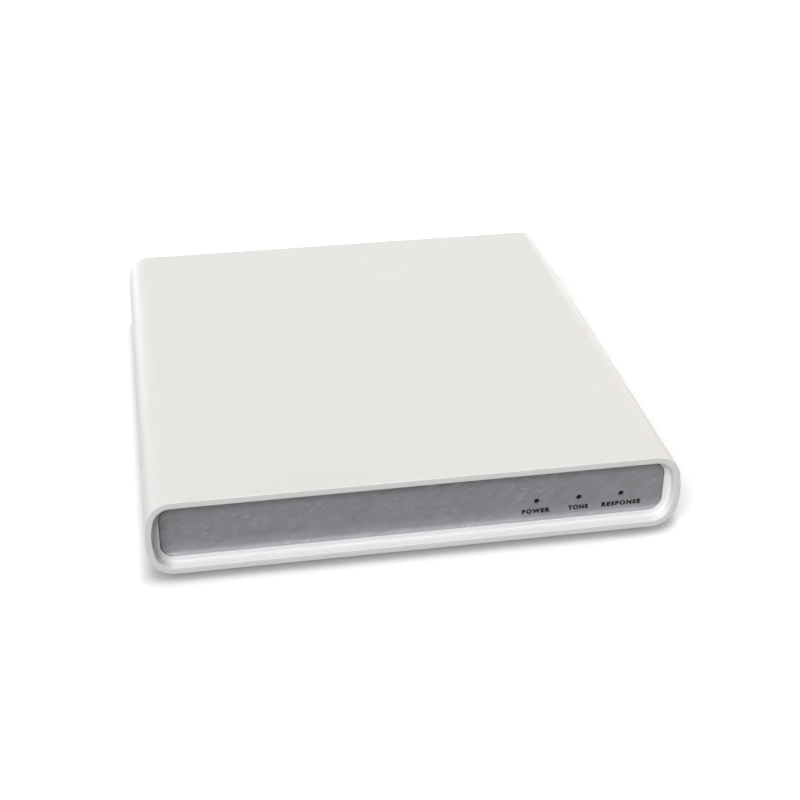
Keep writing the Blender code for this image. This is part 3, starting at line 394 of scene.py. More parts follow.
def make_board_mask(finishes):
    """Glass-fibre board under green solder mask: smooth gloss, with tracks as lighter lines."""
    base = finishes.board_mask
    material, tree, shader, place = new_material("glass_fibre_solder_masked", base, 0.32,
                                                 Coat_Weight=0.3)
    tracks = add_node(tree, "ShaderNodeTexBrick",
                      {"Vector": place, "Scale": 90.0,  # rows of tracks 2.8 mm apart
                       "Mortar Size": 0.06, "Mortar Smooth": 0.1, "Mortar": (0, 0, 0, 1),
                       "Color1": (1, 1, 1, 1), "Color2": (1, 1, 1, 1)},
                      offset=0.37, squash=0.7).outputs["Color"]
    shade = add_node(tree, "ShaderNodeMapRange", {"Value": tracks, "To Min": 1.45, "To Max": 1.0})
    dress(tree, shader, base, shade=shade.outputs["Result"], relief=(tracks, 0.000035, 0.5))
    return material


def build_materials(finishes):
    """Every finish of the object, by its short name."""
    return {
        # Warm white satin with a faint grain. The real grain of 0.08 mm is drawn at 0.35 mm, so that
        # it shows; little gloss at a glancing angle keeps the outline before the white floor
        "white_abs": moulded_plastic("abs_white_moulded", finishes.case_plastic, 0.46, 0.00035, 0.012,
                                     Specular_IOR_Level=0.25),
        # From a smoother mould: a neutral white, glossier than the case
        "plate_abs": moulded_plastic("abs_bright_white_moulded", finishes.plate_plastic, 0.34, 0.00025,
                                     0.01),
        "silver_panel": make_panel_film(finishes),
        # Dense black, hardly glossy, with the weave of the printing screen at 0.1 mm
        "printing_ink": soft_finish("epoxy_ink_screen_printed", finishes.printing_ink, 0.6,
                                    (0.0004, 0.8, 1.3), relief=(0.0001, 2.0, 0.000004, 0.4),
                                    Specular_IOR_Level=0.15),
        # Nearly black and polished, with a small clear glint
        "smoked_acrylic": soft_finish("acrylic_smoked_polished", finishes.lamp_plastic, 0.2,
                                      (0.001, 0.8, 1.2), (0.0005, 0.15, 0.25), IOR=1.49,
                                      Specular_IOR_Level=0.12),
        # Dull dark grey with a dusty bloom
        "grey_rubber": soft_finish("rubber_grey_moulded", finishes.foot_rubber, 0.82,
                                   (0.0035, 0.86, 1.2, 4.0), relief=(0.0003, 3.0, 0.00003, 0.5),
                                   IOR=1.5),
        "green_laminate": make_board_mask(finishes),
        # Satin black that swallows light in the bores
        "black_nylon": moulded_plastic("nylon_black_moulded", finishes.socket_plastic, 0.5, 0.0002, 0.1),
        # From a polished tool: a clear highlight that tells the rocker's two slopes apart
        "rocker_gloss": moulded_plastic("polycarbonate_black_moulded", finishes.rocker_plastic, 0.22,
                                        0.0004, 0.1),
        # Flat opaque white with a crisp edge on the black
        "marking_paint": moulded_plastic("epoxy_paint_pad_printed", finishes.marking_paint, 0.5, 0.0001),
        # Warm silver shine with fine turning marks
        "nickel_brass": plated_metal("brass_nickel_plated", "C9C5BC", 0.24),
        # Pale soft sheen of a pressed sheet
        "tin_plate": plated_metal("steel_tin_plated", "C6C7C8", 0.3),
        # Cool, slightly bluish silver
        "zinc_steel": plated_metal("steel_zinc_plated", "BDC0C6", 0.28),
        # Small yellow glints deep in the data socket
        "gold_contact": plated_metal("bronze_gold_flashed", "D9B45F", 0.22),
        # Dull metallic black
        "black_aluminium": plated_metal("aluminium_black_anodised", "2A2A2C", 0.42),
        # Matt charcoal, a little grainy
        "mould_compound": moulded_plastic("epoxy_compound_moulded", linear("222224"), 0.6, 0.00015, 0.1),
        # Plain off-white with a slight gloss
        "relay_white": moulded_plastic("polyester_white_moulded", linear("D8D8D4"), 0.45, 0.0003),
        # Dry dark grey, faintly speckled
        "ferrite": moulded_plastic("ferrite_pressed", linear("36363A"), 0.7, 0.0002, 0.15),
        # Tight dark blue sleeve with a gloss
        "capacitor_film": moulded_plastic("vinyl_film_shrunk", linear("1F2A56"), 0.3, 0.0008, 0.08),
        # Milky and glassy
        "led_epoxy": moulded_plastic("epoxy_clear_cast", linear("D9D9CF"), 0.2, 0.0005),
    }


def new_edges(bm, before):
    return [edge for edge in bm.edges if edge not in before]


def bevel(bm, geom, size, segments=3, affect="EDGES"):
    bmesh.ops.bevel(bm, geom=geom, offset=size, offset_type="OFFSET", segments=segments, profile=0.5,
                    affect=affect, material=-1)


def linked_faces(bm, edges):
    """Faces that touch any of the edges, in the mesh's own order."""
    touched = {face for edge in edges for face in edge.link_faces}
    return [face for face in bm.faces if face in touched]


def across(centre, y):
    """Placement of a flat shape across Y, with its middle at (x, z)."""
    return Matrix.Translation((centre[0], y, centre[1])) @ Matrix.Rotation(QUARTER_TURN, 4, "X")


def spin_vertex(bm, start, centre, angle, steps, axis=-TRAVEL):
    """Spin a vertex about an axis into a chain of edges; gives the chain's last vertex."""
    made = bmesh.ops.spin(bm, geom=[start], cent=centre, axis=axis, angle=angle, steps=steps)
    return next(item for item in made["geom_last"] if isinstance(item, bmesh.types.BMVert))


def draw_out(bm, faces, way):
    """Extrude faces into a solid."""
    made = bmesh.ops.extrude_face_region(bm, geom=faces)
    moved = [item for item in made["geom"] if isinstance(item, bmesh.types.BMVert)]
    bmesh.ops.translate(bm, verts=moved, vec=way)


def case_loop(bm, insets, grow, y):
    """Section of the case, less the insets and grown all round: one quarter spun up the side and
    round the corner, then mirrored twice."""
    for inset in insets:
        grow -= inset
    sizes = bpy.context.scene.audiometer_case
    half = box_half("case_sleeve")
    rise = half.z - sizes.corner_radius
    reach = sizes.side_radius - sizes.corner_radius
    side_x = half.x - sizes.side_radius
    corner_x = side_x + math.sqrt(reach**2 - rise**2)
    turn = math.asin(rise / reach)
    before = set(bm.edges)
    known = set(bm.verts)
    start = bm.verts.new((half.x + grow, y, 0))
    joint = spin_vertex(bm, start, (side_x, y, 0), turn, SIDE_SEGMENTS)
    spin_vertex(bm, joint, (corner_x, y, rise), QUARTER_TURN - turn, CORNER_SEGMENTS)
    for axis, weld in (("Z", OVERLAP), ("X", 0.0)):
        verts = [vert for vert in bm.verts if vert not in known]
        bmesh.ops.mirror(bm, geom=verts + new_edges(bm, before), axis=axis, merge_dist=weld)
    verts = [vert for vert in bm.verts if vert not in known]
    ends = [vert for vert in verts if len(vert.link_edges) == 1]
    bm.edges.new([vert for vert in ends if vert.co.z > 0])
    bm.edges.new([vert for vert in ends if vert.co.z < 0])
    bmesh.ops.translate(bm, verts=verts, vec=(0, 0, box_middle("case_sleeve").z))
    return new_edges(bm, before)


def circle_loop(bm, centre, radius, grow, y, segments=BORE_SEGMENTS):
    """Circle in the plane across Y."""
    before = set(bm.edges)
    bmesh.ops.create_circle(bm, cap_ends=False, segments=segments, radius=radius + grow,
                            matrix=across(centre, y))
    return new_edges(bm, before)


def corner_loop(bm, centre, half_x, half_z, radii, grow, y, segments=8):
    """Rectangle across Y with its corners rounded: radii of the lower and of the upper two."""
    before = set(bm.edges)
    shape = Matrix.Diagonal((half_x + grow, half_z + grow, 1, 1))
    grid = bmesh.ops.create_grid(bm, x_segments=1, y_segments=1, size=1.0,
                                 matrix=across(centre, y) @ shape)
    rows = {False: [], True: []}
    for vert in grid["verts"]:
        rows[vert.co.z > centre[1]].append(vert)
    for upper, radius in zip((False, True), radii):
        if radius + grow > 0:
            bevel(bm, rows[upper], radius + grow, segments, "VERTICES")
    edges = new_edges(bm, before)
    bmesh.ops.delete(bm, geom=linked_faces(bm, edges), context="FACES_ONLY")
    return edges


def node_outline(bm, node, radius, gap=0.0):
    """Rounded outline of a node, a gap outside it, that can be drawn at any level."""
    half = box_half(node)
    return partial(corner_loop, bm, centre_of(node), half.x + gap, half.z + gap, (radius, radius))


def arch_loop(bm, centre, half_x, bottom, grow, y):
    """Half circle above centre on straight sides down to a flat bottom."""
    before = set(bm.edges)
    start = bm.verts.new((centre[0] + half_x + grow, y, centre[1]))
    last = spin_vertex(bm, start, (centre[0], y, centre[1]), 2 * QUARTER_TURN, SMALL_SEGMENTS)
    feet = [bm.verts.new((vert.co.x, y, bottom - grow)) for vert in (start, last)]
    for pair in ((start, feet[0]), (last, feet[1]), feet):
        bm.edges.new(pair)
    return new_edges(bm, before)


def rounded_edge(outline, face_y, inward, size, steps=ROUND_SEGMENTS):
    """Loops over the rounded edge of an outline, from its face to its wall.

    A negative size rounds an outer edge, a positive one the rim of a hole.
    """
    loops = []
    for step in range(steps + 1):
        angle = QUARTER_TURN * step / steps
        depth = abs(size) * (1 - math.cos(angle))
        loops.append(outline(size * (1 - math.sin(angle)), face_y + inward * depth))
    return loops


def edged_wall(outline, face_y, back_y, size, steps=ROUND_SEGMENTS):
    """Loops over the rounded edge of an outline and straight on to the back."""
    inward = math.copysign(1, back_y - face_y)
    return rounded_edge(outline, face_y, inward, size, steps) + [outline(0, back_y)]


def fill(bm, loops):
    """Flat face between an outer loop and the holes in it."""
    edges = [edge for loop in loops for edge in loop]
    bmesh.ops.triangle_fill(bm, use_beauty=True, use_dissolve=False, edges=edges, normal=TRAVEL)


def skin(bm, loops):
    """Bridge each loop to the next; two loops in one plane get a flat ring between them."""
    for near, far in zip(loops, loops[1:]):
        if abs(near[0].verts[0].co.y - far[0].verts[0].co.y) < OVERLAP / 2:
            fill(bm, [near, far])
        else:
            bmesh.ops.bridge_loops(bm, edges=near + far)


def close_plate(bm, rim, holes):
    """Front and back of a plate, between its rim and its holes."""
    for end in (0, -1):
        fill(bm, [rim[end]] + [hole[end] for hole in holes])


def close_stack(bm, loops):
    """Closed body through the loops, with a flat face over the first and the last."""
    fill(bm, [loops[0]])
    skin(bm, loops)
    fill(bm, [loops[-1]])


def countersink(bm, node, gap, land, face_y, back_y, chamfer=0.0, segments=SMALL_SEGMENTS):
    """Loops of a countersunk hole for a screw, from a plate's face to its back."""
    head = box_half(node).x + gap
    narrow = bpy.context.scene.audiometer_case.port_hole_radius - head
    hole = partial(circle_loop, bm, centre_of(node), head, segments=segments)
    steps = [(chamfer, 0), (0, chamfer)] if chamfer else [(0, 0)]
    inward = math.copysign(1, back_y - face_y)
    return [hole(grow, face_y + inward * depth)
            for grow, depth in steps + [(0, land), (narrow, land - narrow)]] + [hole(narrow, back_y)]


def lathe(bm, profile, centre, axis, steps):
    """Spin a half section once round an axis; profile holds (radius, travel along the axis) pairs."""
    out = Vector((1, 0, 0))
    verts = [bm.verts.new(centre + out * radius + axis * travel) for radius, travel in profile]
    edges = [bm.edges.new(pair) for pair in zip(verts, verts[1:])]
    known = set(bm.verts) - set(verts)
    bmesh.ops.spin(bm, geom=verts + edges, cent=centre, axis=axis, angle=FULL_TURN, steps=steps,
                   use_merge=True)
    made = [vert for vert in bm.verts if vert not in known]
    bmesh.ops.remove_doubles(bm, verts=made, dist=OVERLAP / 4)


def add_block(bm, low, high, edge_round=0.0):
    """Box between two corners, with its edges rounded."""
    shape = Matrix.Translation((Vector(low) + Vector(high)) / 2) @ Matrix.Diagonal(
        (*(Vector(high) - Vector(low)), 1.0))
    cube = bmesh.ops.create_cube(bm, size=1.0, matrix=shape)
    if edge_round:
        corners = set(cube["verts"])
        bevel(bm, [edge for edge in bm.edges if edge.verts[0] in corners], edge_round)


def place_object(name, data):
    made = bpy.data.objects.new(name, data)
    bpy.context.scene.collection.objects.link(made)
    return made


def add_piece(name, bm, slot, stands_for=(), body="case", paint=None):
    """Turn a bmesh into a finished piece that rides on a body."""
    bmesh.ops.recalc_face_normals(bm, faces=bm.faces)
    mesh = bpy.data.meshes.new(name)
    bm.to_mesh(mesh)
    bm.free()
    mesh.shade_smooth()
    mesh.set_sharp_from_angle(angle=SHARP_ANGLE)
    mesh.materials.append(MADE_FINISHES[paint or slot])
    piece = place_object(name, mesh)
    piece.modifiers.new("even_normals", "WEIGHTED_NORMAL").keep_sharp = True
    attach(piece, body)
    if stands_for:
        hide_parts(*stands_for)


def add_word(name, text, place, cap_height, facing, slot, width=None):
    """Printed word: built-in letters, made bolder and wider, as a thin film of ink.

    place is the middle of the word on its face; facing is -1 for the front and 1 for the rear.
    """
    letters = bpy.data.curves.new(name, "FONT")
    letters.body = text
    letters.offset = LETTER_BOLDNESS
    letters.space_character = LETTER_SPACING
    letters.resolution_u = LETTER_STEPS
    holder = place_object(name + "_letters", letters)
    depsgraph = bpy.context.evaluated_depsgraph_get()
    flat = bpy.data.meshes.new_from_object(holder.evaluated_get(depsgraph))
    bpy.data.objects.remove(holder, do_unlink=True)
    bm = bmesh.new()
    bm.from_mesh(flat)
    bmesh.ops.remove_doubles(bm, verts=bm.verts, dist=SEAM)
    corners = [(min(v.co[i] for v in bm.verts), max(v.co[i] for v in bm.verts)) for i in (0, 1)]
    middle = Vector([(low + high) / 2 for low, high in corners] + [0])
    scale = cap_height / (corners[1][1] - corners[1][0])
    natural = scale * (corners[0][1] - corners[0][0])
    stretch = width / natural if width else WORD_STRETCH
    upright = Matrix.Rotation(QUARTER_TURN, 4, "X")
    if facing > 0:
        upright = Matrix.Rotation(2 * QUARTER_TURN, 4, "Z") @ upright
    matrix = (Matrix.Translation(place - TRAVEL * facing * OVERLAP) @ upright
              @ Matrix.Diagonal((scale * stretch, scale, 1, 1)) @ Matrix.Translation(-middle))
    bmesh.ops.transform(bm, matrix=matrix, verts=bm.verts)
    draw_out(bm, bm.faces[:], TRAVEL * facing * OVERLAP * 3)
    add_piece(name, bm, slot, paint="printing_ink")


class AUDIOMETER_OT_finishes(bpy.types.Operator):
    """Make the finishes that the pieces are dressed in"""
    bl_idname = "audiometer.finishes"
    bl_label = "Finishes"

    def execute(self, context):
        MADE_FINISHES.update(build_materials(context.scene.audiometer_finishes))
        return {"FINISHED"}


class AUDIOMETER_OT_case_shell(bpy.types.Operator):
    """Build the white tube with its rounded rims, screw ports and board guides"""
    bl_idname = "audiometer.case_shell"
    bl_label = "Case shell"

    def execute(self, context):
        sizes = context.scene.audiometer_case
        low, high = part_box("case_sleeve")
        bm = bmesh.new()
        outer = partial(case_loop, bm, ())
        inner = partial(case_loop, bm, (sizes.wall,))
        loops = rounded_edge(outer, low.y, 1, -sizes.rim_round)
        loops += reversed(rounded_edge(outer, high.y, -1, -sizes.rim_round))
        loops += rounded_edge(inner, high.y, -1, sizes.mouth_round)
        loops += reversed(rounded_edge(inner, low.y, 1, sizes.mouth_round))
        skin(bm, loops + loops[:1])
        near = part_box("front_bezel")[0].y + sizes.wall * 2
        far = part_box("rear_panel")[0].y - FIT_GAP
        self.add_ports(bm, sizes, near, far)
        self.add_guides(bm, sizes, near, far)
        add_piece("case_shell", bm, "white_abs", ("case_sleeve",))
        return {"FINISHED"}

    def add_ports(self, bm, sizes, near, far):
        """Slit screw ports between the plates, each on a stalk from the wall."""
        low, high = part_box("case_sleeve")
        for number, (side_x, side_z) in enumerate(CORNERS, 1):
            centre = box_middle("front_screw_%d" % number)
            middle = Vector((centre.x, near, centre.z))
            toward_slit = Matrix.Rotation(PORT_SLIT / 2, 3, "Y") @ Vector((0, 0, -side_z))
            ends = [bm.verts.new(middle + toward_slit * radius)
                    for radius in (sizes.port_hole_radius, sizes.port_radius)]
            edge = bm.edges.new(ends)
            known = set(bm.faces)
            bmesh.ops.spin(bm, geom=ends + [edge], cent=middle, axis=TRAVEL,
                           angle=FULL_TURN - PORT_SLIT, steps=SMALL_SEGMENTS)
            draw_out(bm, [face for face in bm.faces if face not in known], TRAVEL * (far - near))
            wall_z = (high.z if side_z > 0 else low.z) - side_z * sizes.wall / 2
            levels = sorted((centre.z + side_z * sizes.port_radius * STALK_SHARE, wall_z))
            half = sizes.port_radius / 2
            add_block(bm, (centre.x - half, near, levels[0]), (centre.x + half, far, levels[1]))

    def add_guides(self, bm, sizes, near, far):
        """Pairs of rails that hold the board's edges."""
        board_low, board_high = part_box("main_board")
        half_x = box_half("case_sleeve").x
        for side in (-1, 1):
            ends = sorted((side * (half_x - sizes.wall - sizes.guide_reach),
                           side * (half_x - sizes.wall / 2)))
            for level in (board_low.z - FIT_GAP - sizes.guide_thickness, board_high.z + FIT_GAP):
                add_block(bm, (ends[0], near, level), (ends[1], far, level + sizes.guide_thickness),
                          sizes.mouth_round)


class AUDIOMETER_OT_front_plate(bpy.types.Operator):
    """Build the recessed white plate: hollow edge, pocket, and the lamp bosses on a thin web"""
    bl_idname = "audiometer.front_plate"
    bl_label = "Front plate"

    def execute(self, context):
        case = context.scene.audiometer_case
        sizes = context.scene.audiometer_front
        panel_low, panel_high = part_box("front_panel")
        face_y = panel_low.y - sizes.panel_recess
        back_y = face_y + sizes.plate_thickness
        floor_y = panel_high.y + FIT_GAP
        end_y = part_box("front_bezel")[1].y
        bm = bmesh.new()
        edge = partial(case_loop, bm, (case.wall, HAIRLINE))
        cove = []
        for step in range(2 * ROUND_SEGMENTS + 1):
            angle = QUARTER_TURN * step / (2 * ROUND_SEGMENTS)
            shrink = HAIRLINE + sizes.cove_radius * (1 - math.sin(angle))
            cove.append(edge(-shrink, face_y - sizes.cove_radius * (1 - math.cos(angle))))
        outside = [edge(0, face_y - sizes.cove_radius)]
        outside += reversed(rounded_edge(edge, back_y, -1, -SEAM * 2, 2))
        skin(bm, cove + outside)

        pocket = node_outline(bm, "front_panel", sizes.pocket_radius, FIT_GAP)
        walls = edged_wall(pocket, face_y, floor_y, sizes.pocket_round)
        skin(bm, walls)
        fill(bm, [cove[0], walls[0]])
        holes = [self.lamp_bore(bm, name, floor_y, back_y, end_y) for name in LAMPS]
        holes += [countersink(bm, "front_screw_%d" % number, FIT_GAP, FIT_GAP / 2, floor_y, back_y)
                  for number in SCREWS]
        close_plate(bm, [walls[-1], outside[-1]], holes)
        for hole in holes:
            skin(bm, hole)
        first, last = box_middle("power_light_pipe"), box_middle("response_light_pipe")
        web = sizes.cove_radius / 2
        add_block(bm, (first.x, back_y - web, first.z - web), (last.x, end_y - web * 4, last.z + web))
        add_piece("front_plate", bm, "white_abs", ("front_bezel",), paint="plate_abs")
        return {"FINISHED"}

    def lamp_bore(self, bm, name, floor_y, back_y, end_y):
        """Bore through the plate and the boss behind it, from the pocket's floor round to the back."""
        node = name + "_light_pipe"
        flange = box_half(node).x
        bore = partial(circle_loop, bm, centre_of(node), flange * LAMP_BORE_SHARE,
                       segments=SMALL_SEGMENTS)
        return [bore(0, floor_y), bore(0, end_y), bore(flange / 2, end_y), bore(flange / 2, back_y)]


class AUDIOMETER_OT_silver_panel(bpy.types.Operator):
    """Build the silver panel with its three lamp holes and the word under each"""
    bl_idname = "audiometer.silver_panel"
    bl_label = "Silver panel"

    def execute(self, context):
        sizes = context.scene.audiometer_front
        low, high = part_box("front_panel")
        bm = bmesh.new()
        edge = node_outline(bm, "front_panel", sizes.pocket_radius - FIT_GAP)
        rim = edged_wall(edge, low.y, high.y, -sizes.panel_round)
        skin(bm, rim)
        holes = []
        for name in LAMPS:
            bore = partial(circle_loop, bm, centre_of(name + "_light_pipe"), sizes.lamp_hole_radius)
            holes.append(edged_wall(bore, low.y, high.y, sizes.panel_round / 2, 2))
            skin(bm, holes[-1])
        close_plate(bm, rim, holes)
        add_piece("silver_panel", bm, "silver_panel", ("front_panel",))
        for name, (width, shift) in LAMPS.items():
            x, z = centre_of(name + "_light_pipe")
            place = Vector((x + shift, low.y, z - sizes.word_drop))
            add_word("word_" + name, name.upper(), place, sizes.word_height, -1, "silver_panel", width)
        return {"FINISHED"}


class AUDIOMETER_OT_lamp_tips(bpy.types.Operator):
    """Turn the smoked light pipes that end in the panel's holes"""
    bl_idname = "audiometer.lamp_tips"
    bl_label = "Lamp tips"

    def execute(self, context):
        tip = context.scene.audiometer_front.lamp_hole_radius - FIT_GAP / 2
        panel_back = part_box("front_panel")[1].y
        for name in LAMPS:
            node = name + "_light_pipe"
            low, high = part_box(node)
            flange = box_half(node).x
            barrel = flange * 2 / 3
            rim = flange / 3
            shoulder = panel_back + FIT_GAP - low.y
            depth = high.y - low.y
            profile = [(tip * out, tip * back) for out, back in LAMP_DOME]
            profile += [(tip, shoulder), (barrel, shoulder), (barrel, depth - rim),
                        (flange, depth - rim), (flange, depth - rim / 4), (flange - rim / 4, depth),
                        (0, depth)]
            bm = bmesh.new()
            x, z = centre_of(node)
            lathe(bm, profile, Vector((x, low.y, z)), TRAVEL, SMALL_SEGMENTS)
            add_piece("lamp_tip_" + name, bm, "smoked_acrylic", (node,))
        return {"FINISHED"}


class AUDIOMETER_OT_screws(bpy.types.Operator):
    """Make the eight countersunk screws with their cross recess"""
    bl_idname = "audiometer.screws"
    bl_label = "Screws"

    def execute(self, context):
        for number in SCREWS:
            self.add_screw("front_screw_%d" % number, -1)
            self.add_screw("rear_screw_%d" % number, 1)
        return {"FINISHED"}

    def add_screw(self, node, facing):
        low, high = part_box(node)
        centre = centre_of(node)
        head = box_half(node).x
        shank = head * SHANK_SHARE
        land = head * LAND_SHARE
        face_y, tip_y = (high.y, low.y) if facing > 0 else (low.y, high.y)
        bm = bmesh.new()
        ring = partial(circle_loop, bm, centre, head, segments=SMALL_SEGMENTS * 2)
        loops = [ring(-land, face_y), ring(0, face_y - facing * land),
                 ring(0, face_y - facing * land * 2),
                 ring(shank - head, face_y - facing * (land * 2 + head - shank)),
                 ring(shank - head, tip_y + facing * shank / 2), ring(shank / 2 - head, tip_y)]
        recess = [self.cross_loop(bm, centre, head * reach, head * arm, y)
                  for (reach, arm), y in ((RECESS_MOUTH, face_y),
                                          (RECESS_FLOOR, face_y - facing * head * RECESS_DEPTH))]
        close_stack(bm, loops[::-1] + recess)
        add_piece(node.replace("screw", "fixing"), bm, "zinc_steel", (node,))

    def cross_loop(self, bm, centre, reach, half_arm, y):
        """Outline of the recess: a grid of nine cells that loses its corner cells."""
        before = set(bm.edges)
        grid = bmesh.ops.create_grid(bm, x_segments=3, y_segments=3, size=1.0, matrix=across(centre, y))
        for vert in grid["verts"]:
            for axis, middle in ((0, centre[0]), (2, centre[1])):
                offset = vert.co[axis] - middle
                size = reach if abs(offset) > 0.5 else half_arm  # lines at 1 and at 1/3
                vert.co[axis] = middle + math.copysign(size, offset)
        corner = reach * 0.99
        spare = [vert for vert in grid["verts"]
                 if abs(vert.co.x - centre[0]) > corner and abs(vert.co.z - centre[1]) > corner]
        bmesh.ops.delete(bm, geom=spare, context="VERTS")
        edges = new_edges(bm, before)
        inside = [edge for edge in edges if len(edge.link_faces) > 1]
        bmesh.ops.delete(bm, geom=linked_faces(bm, edges), context="FACES_ONLY")
        bmesh.ops.delete(bm, geom=inside, context="EDGES")
        return new_edges(bm, before)


class AUDIOMETER_OT_rear_plate(bpy.types.Operator):
    """Build the rear plate with its cut-outs and printed words"""
    bl_idname = "audiometer.rear_plate"
    bl_label = "Rear plate"

    def execute(self, context):
        case = context.scene.audiometer_case
        sizes = context.scene.audiometer_rear
        low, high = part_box("rear_panel")
        bm = bmesh.new()
        edge = partial(case_loop, bm, (case.wall, SEAM))
        rim = edged_wall(edge, high.y, low.y, -sizes.hole_round, 3)
        skin(bm, rim)
        outlines = [partial(circle_loop, bm, centre_of(node), sizes.bushing_radius + SEAM)
                    for node in JACKS]
        outlines += [node_outline(bm, node, SOCKET_CORNER + SEAM, SEAM)
                     for node in ("usb_shell", "switch_housing")]
        inlet_low, inlet_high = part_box("supply_inlet")
        half_x = box_half("supply_inlet").x
        centre = (box_middle("supply_inlet").x, inlet_high.z - half_x)
        outlines.append(partial(arch_loop, bm, centre, half_x + SEAM, inlet_low.z - SEAM))
        holes = [edged_wall(outline, high.y, low.y, sizes.hole_round, 3) for outline in outlines]
        holes += [countersink(bm, "rear_screw_%d" % number, SEAM, FIT_GAP, high.y, low.y, SEAM,
                              BORE_SEGMENTS) for number in SCREWS]
        for hole in holes:
            skin(bm, hole)
        close_plate(bm, rim, holes)
        add_piece("rear_plate", bm, "white_abs", ("rear_panel",))
        for node, text in {**JACKS, "usb_shell": "PC", "supply_inlet": "DC IN"}.items():
            place = Vector((box_middle(node).x, high.y, sizes.word_level))
            add_word("word_at_" + node, text, place, sizes.word_height, 1, "white_abs")
        return {"FINISHED"}


class AUDIOMETER_OT_jack_sockets(bpy.types.Operator):
    """Build the three jack sockets and their nuts"""
    bl_idname = "audiometer.jack_sockets"
    bl_label = "Jack sockets"

    def execute(self, context):
        sizes = context.scene.audiometer_rear
        for node in JACKS:
            self.add_socket(node, sizes)
            self.add_nut(node + "_nut", sizes)
        return {"FINISHED"}

    def add_socket(self, node, sizes):
        """Block with a threaded bushing and a stepped bore, one closed skin, and its spring contact."""
        low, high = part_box(node)
        centre, half = centre_of(node), box_half(node)
        name = node.replace("jack", "socket")
        front_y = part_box("rear_panel")[0].y - FIT_GAP
        bm = bmesh.new()
        block = node_outline(bm, node, SOCKET_CORNER)
        body = rounded_edge(block, low.y, 1, -FIT_GAP, 2)
        body += reversed(rounded_edge(block, front_y, -1, -FIT_GAP, 2))
        bushing = partial(circle_loop, bm, centre, sizes.bushing_radius)
        bore = partial(circle_loop, bm, centre, sizes.bore_radius)
        chamfer = FIT_GAP * 1.5
        thread_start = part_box(node + "_nut")[1].y + SEAM
        loops = [bushing(0, front_y), bushing(0, thread_start)]
        pitch = (high.y - chamfer - thread_start) / THREAD_RINGS
        for turn in range(THREAD_RINGS):
            start = thread_start + turn * pitch
            loops += [bushing(-FIT_GAP / 2, start + pitch / 2), bushing(0, start + pitch)]
        loops += [bushing(-chamfer, high.y), bore(chamfer, high.y), bore(0, high.y - chamfer)]
        loops += [bore(0, front_y - half.y / 2), bore(-FIT_GAP * 2, front_y - half.y / 2 - FIT_GAP),
                  bore(-FIT_GAP * 2, low.y + half.y / 2)]
        close_stack(bm, body + loops)
        add_piece(name, bm, "black_nylon", (node,))
        bm = bmesh.new()
        profile = [(FIT_GAP * out, FIT_GAP * up) for out, up in ((0, -1), (2, 0), (3, 2), (3, 5), (0, 5))]
        contact = Vector((centre[0], front_y - half.y / 3, centre[1] + sizes.bore_radius - FIT_GAP * 4))
        lathe(bm, profile, contact, UP, SMALL_SEGMENTS)
        add_piece(name + "_contact", bm, "nickel_brass")

    def add_nut(self, node, sizes):
        """Hexagonal nut: a prism whose corners are turned off by tilted cuts, then bored."""
        low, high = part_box(node)
        middle = box_middle(node)
        bm = bmesh.new()
        upright = Matrix.Translation((middle.x, low.y, middle.z)) @ Matrix.Rotation(-QUARTER_TURN, 4, "X")
        bmesh.ops.create_circle(bm, cap_ends=True, segments=6, radius=sizes.nut_flats / math.sqrt(3),
                                matrix=upright)
        draw_out(bm, bm.faces[:], TRAVEL * (high.y - low.y))
        bmesh.ops.recalc_face_normals(bm, faces=bm.faces)
        radius = sizes.nut_flats / 2 - FIT_GAP / 3
        for step in range(BORE_SEGMENTS):
            angle = FULL_TURN * step / BORE_SEGMENTS
            out = Vector((math.cos(angle), 0, math.sin(angle)))
            point = Vector((middle.x, high.y, middle.z)) + out * radius
            normal = out * math.sin(NUT_CUT_TILT) + TRAVEL * math.cos(NUT_CUT_TILT)
            geom = bm.verts[:] + bm.edges[:] + bm.faces[:]
            cutting = bmesh.ops.bisect_plane(bm, geom=geom, plane_co=point, plane_no=normal,
                                             clear_outer=True)
            rim = [item for item in cutting["geom_cut"] if isinstance(item, bmesh.types.BMEdge)]
            if rim:
                bmesh.ops.edgeloop_fill(bm, edges=rim)
        faces = [face for face in bm.faces
                 if all(min(abs(vert.co.y - low.y), abs(vert.co.y - high.y)) < OVERLAP
                        for vert in face.verts) and abs(face.normal.y) > 0.99]
        outlines = [list(face.edges) for face in sorted(faces, key=lambda face: face.verts[0].co.y)]
        bmesh.ops.delete(bm, geom=faces, context="FACES_ONLY")
        bore = partial(circle_loop, bm, (middle.x, middle.z), sizes.bushing_radius + SEAM)
        back = list(reversed(rounded_edge(bore, low.y, 1, FIT_GAP, 2)))
        front = rounded_edge(bore, high.y, -1, FIT_GAP, 2)
        skin(bm, front + back)
        fill(bm, [outlines[0], back[-1]])
        fill(bm, [outlines[-1], front[0]])
        add_piece(node.replace("jack", "socket"), bm, "nickel_brass", (node,))


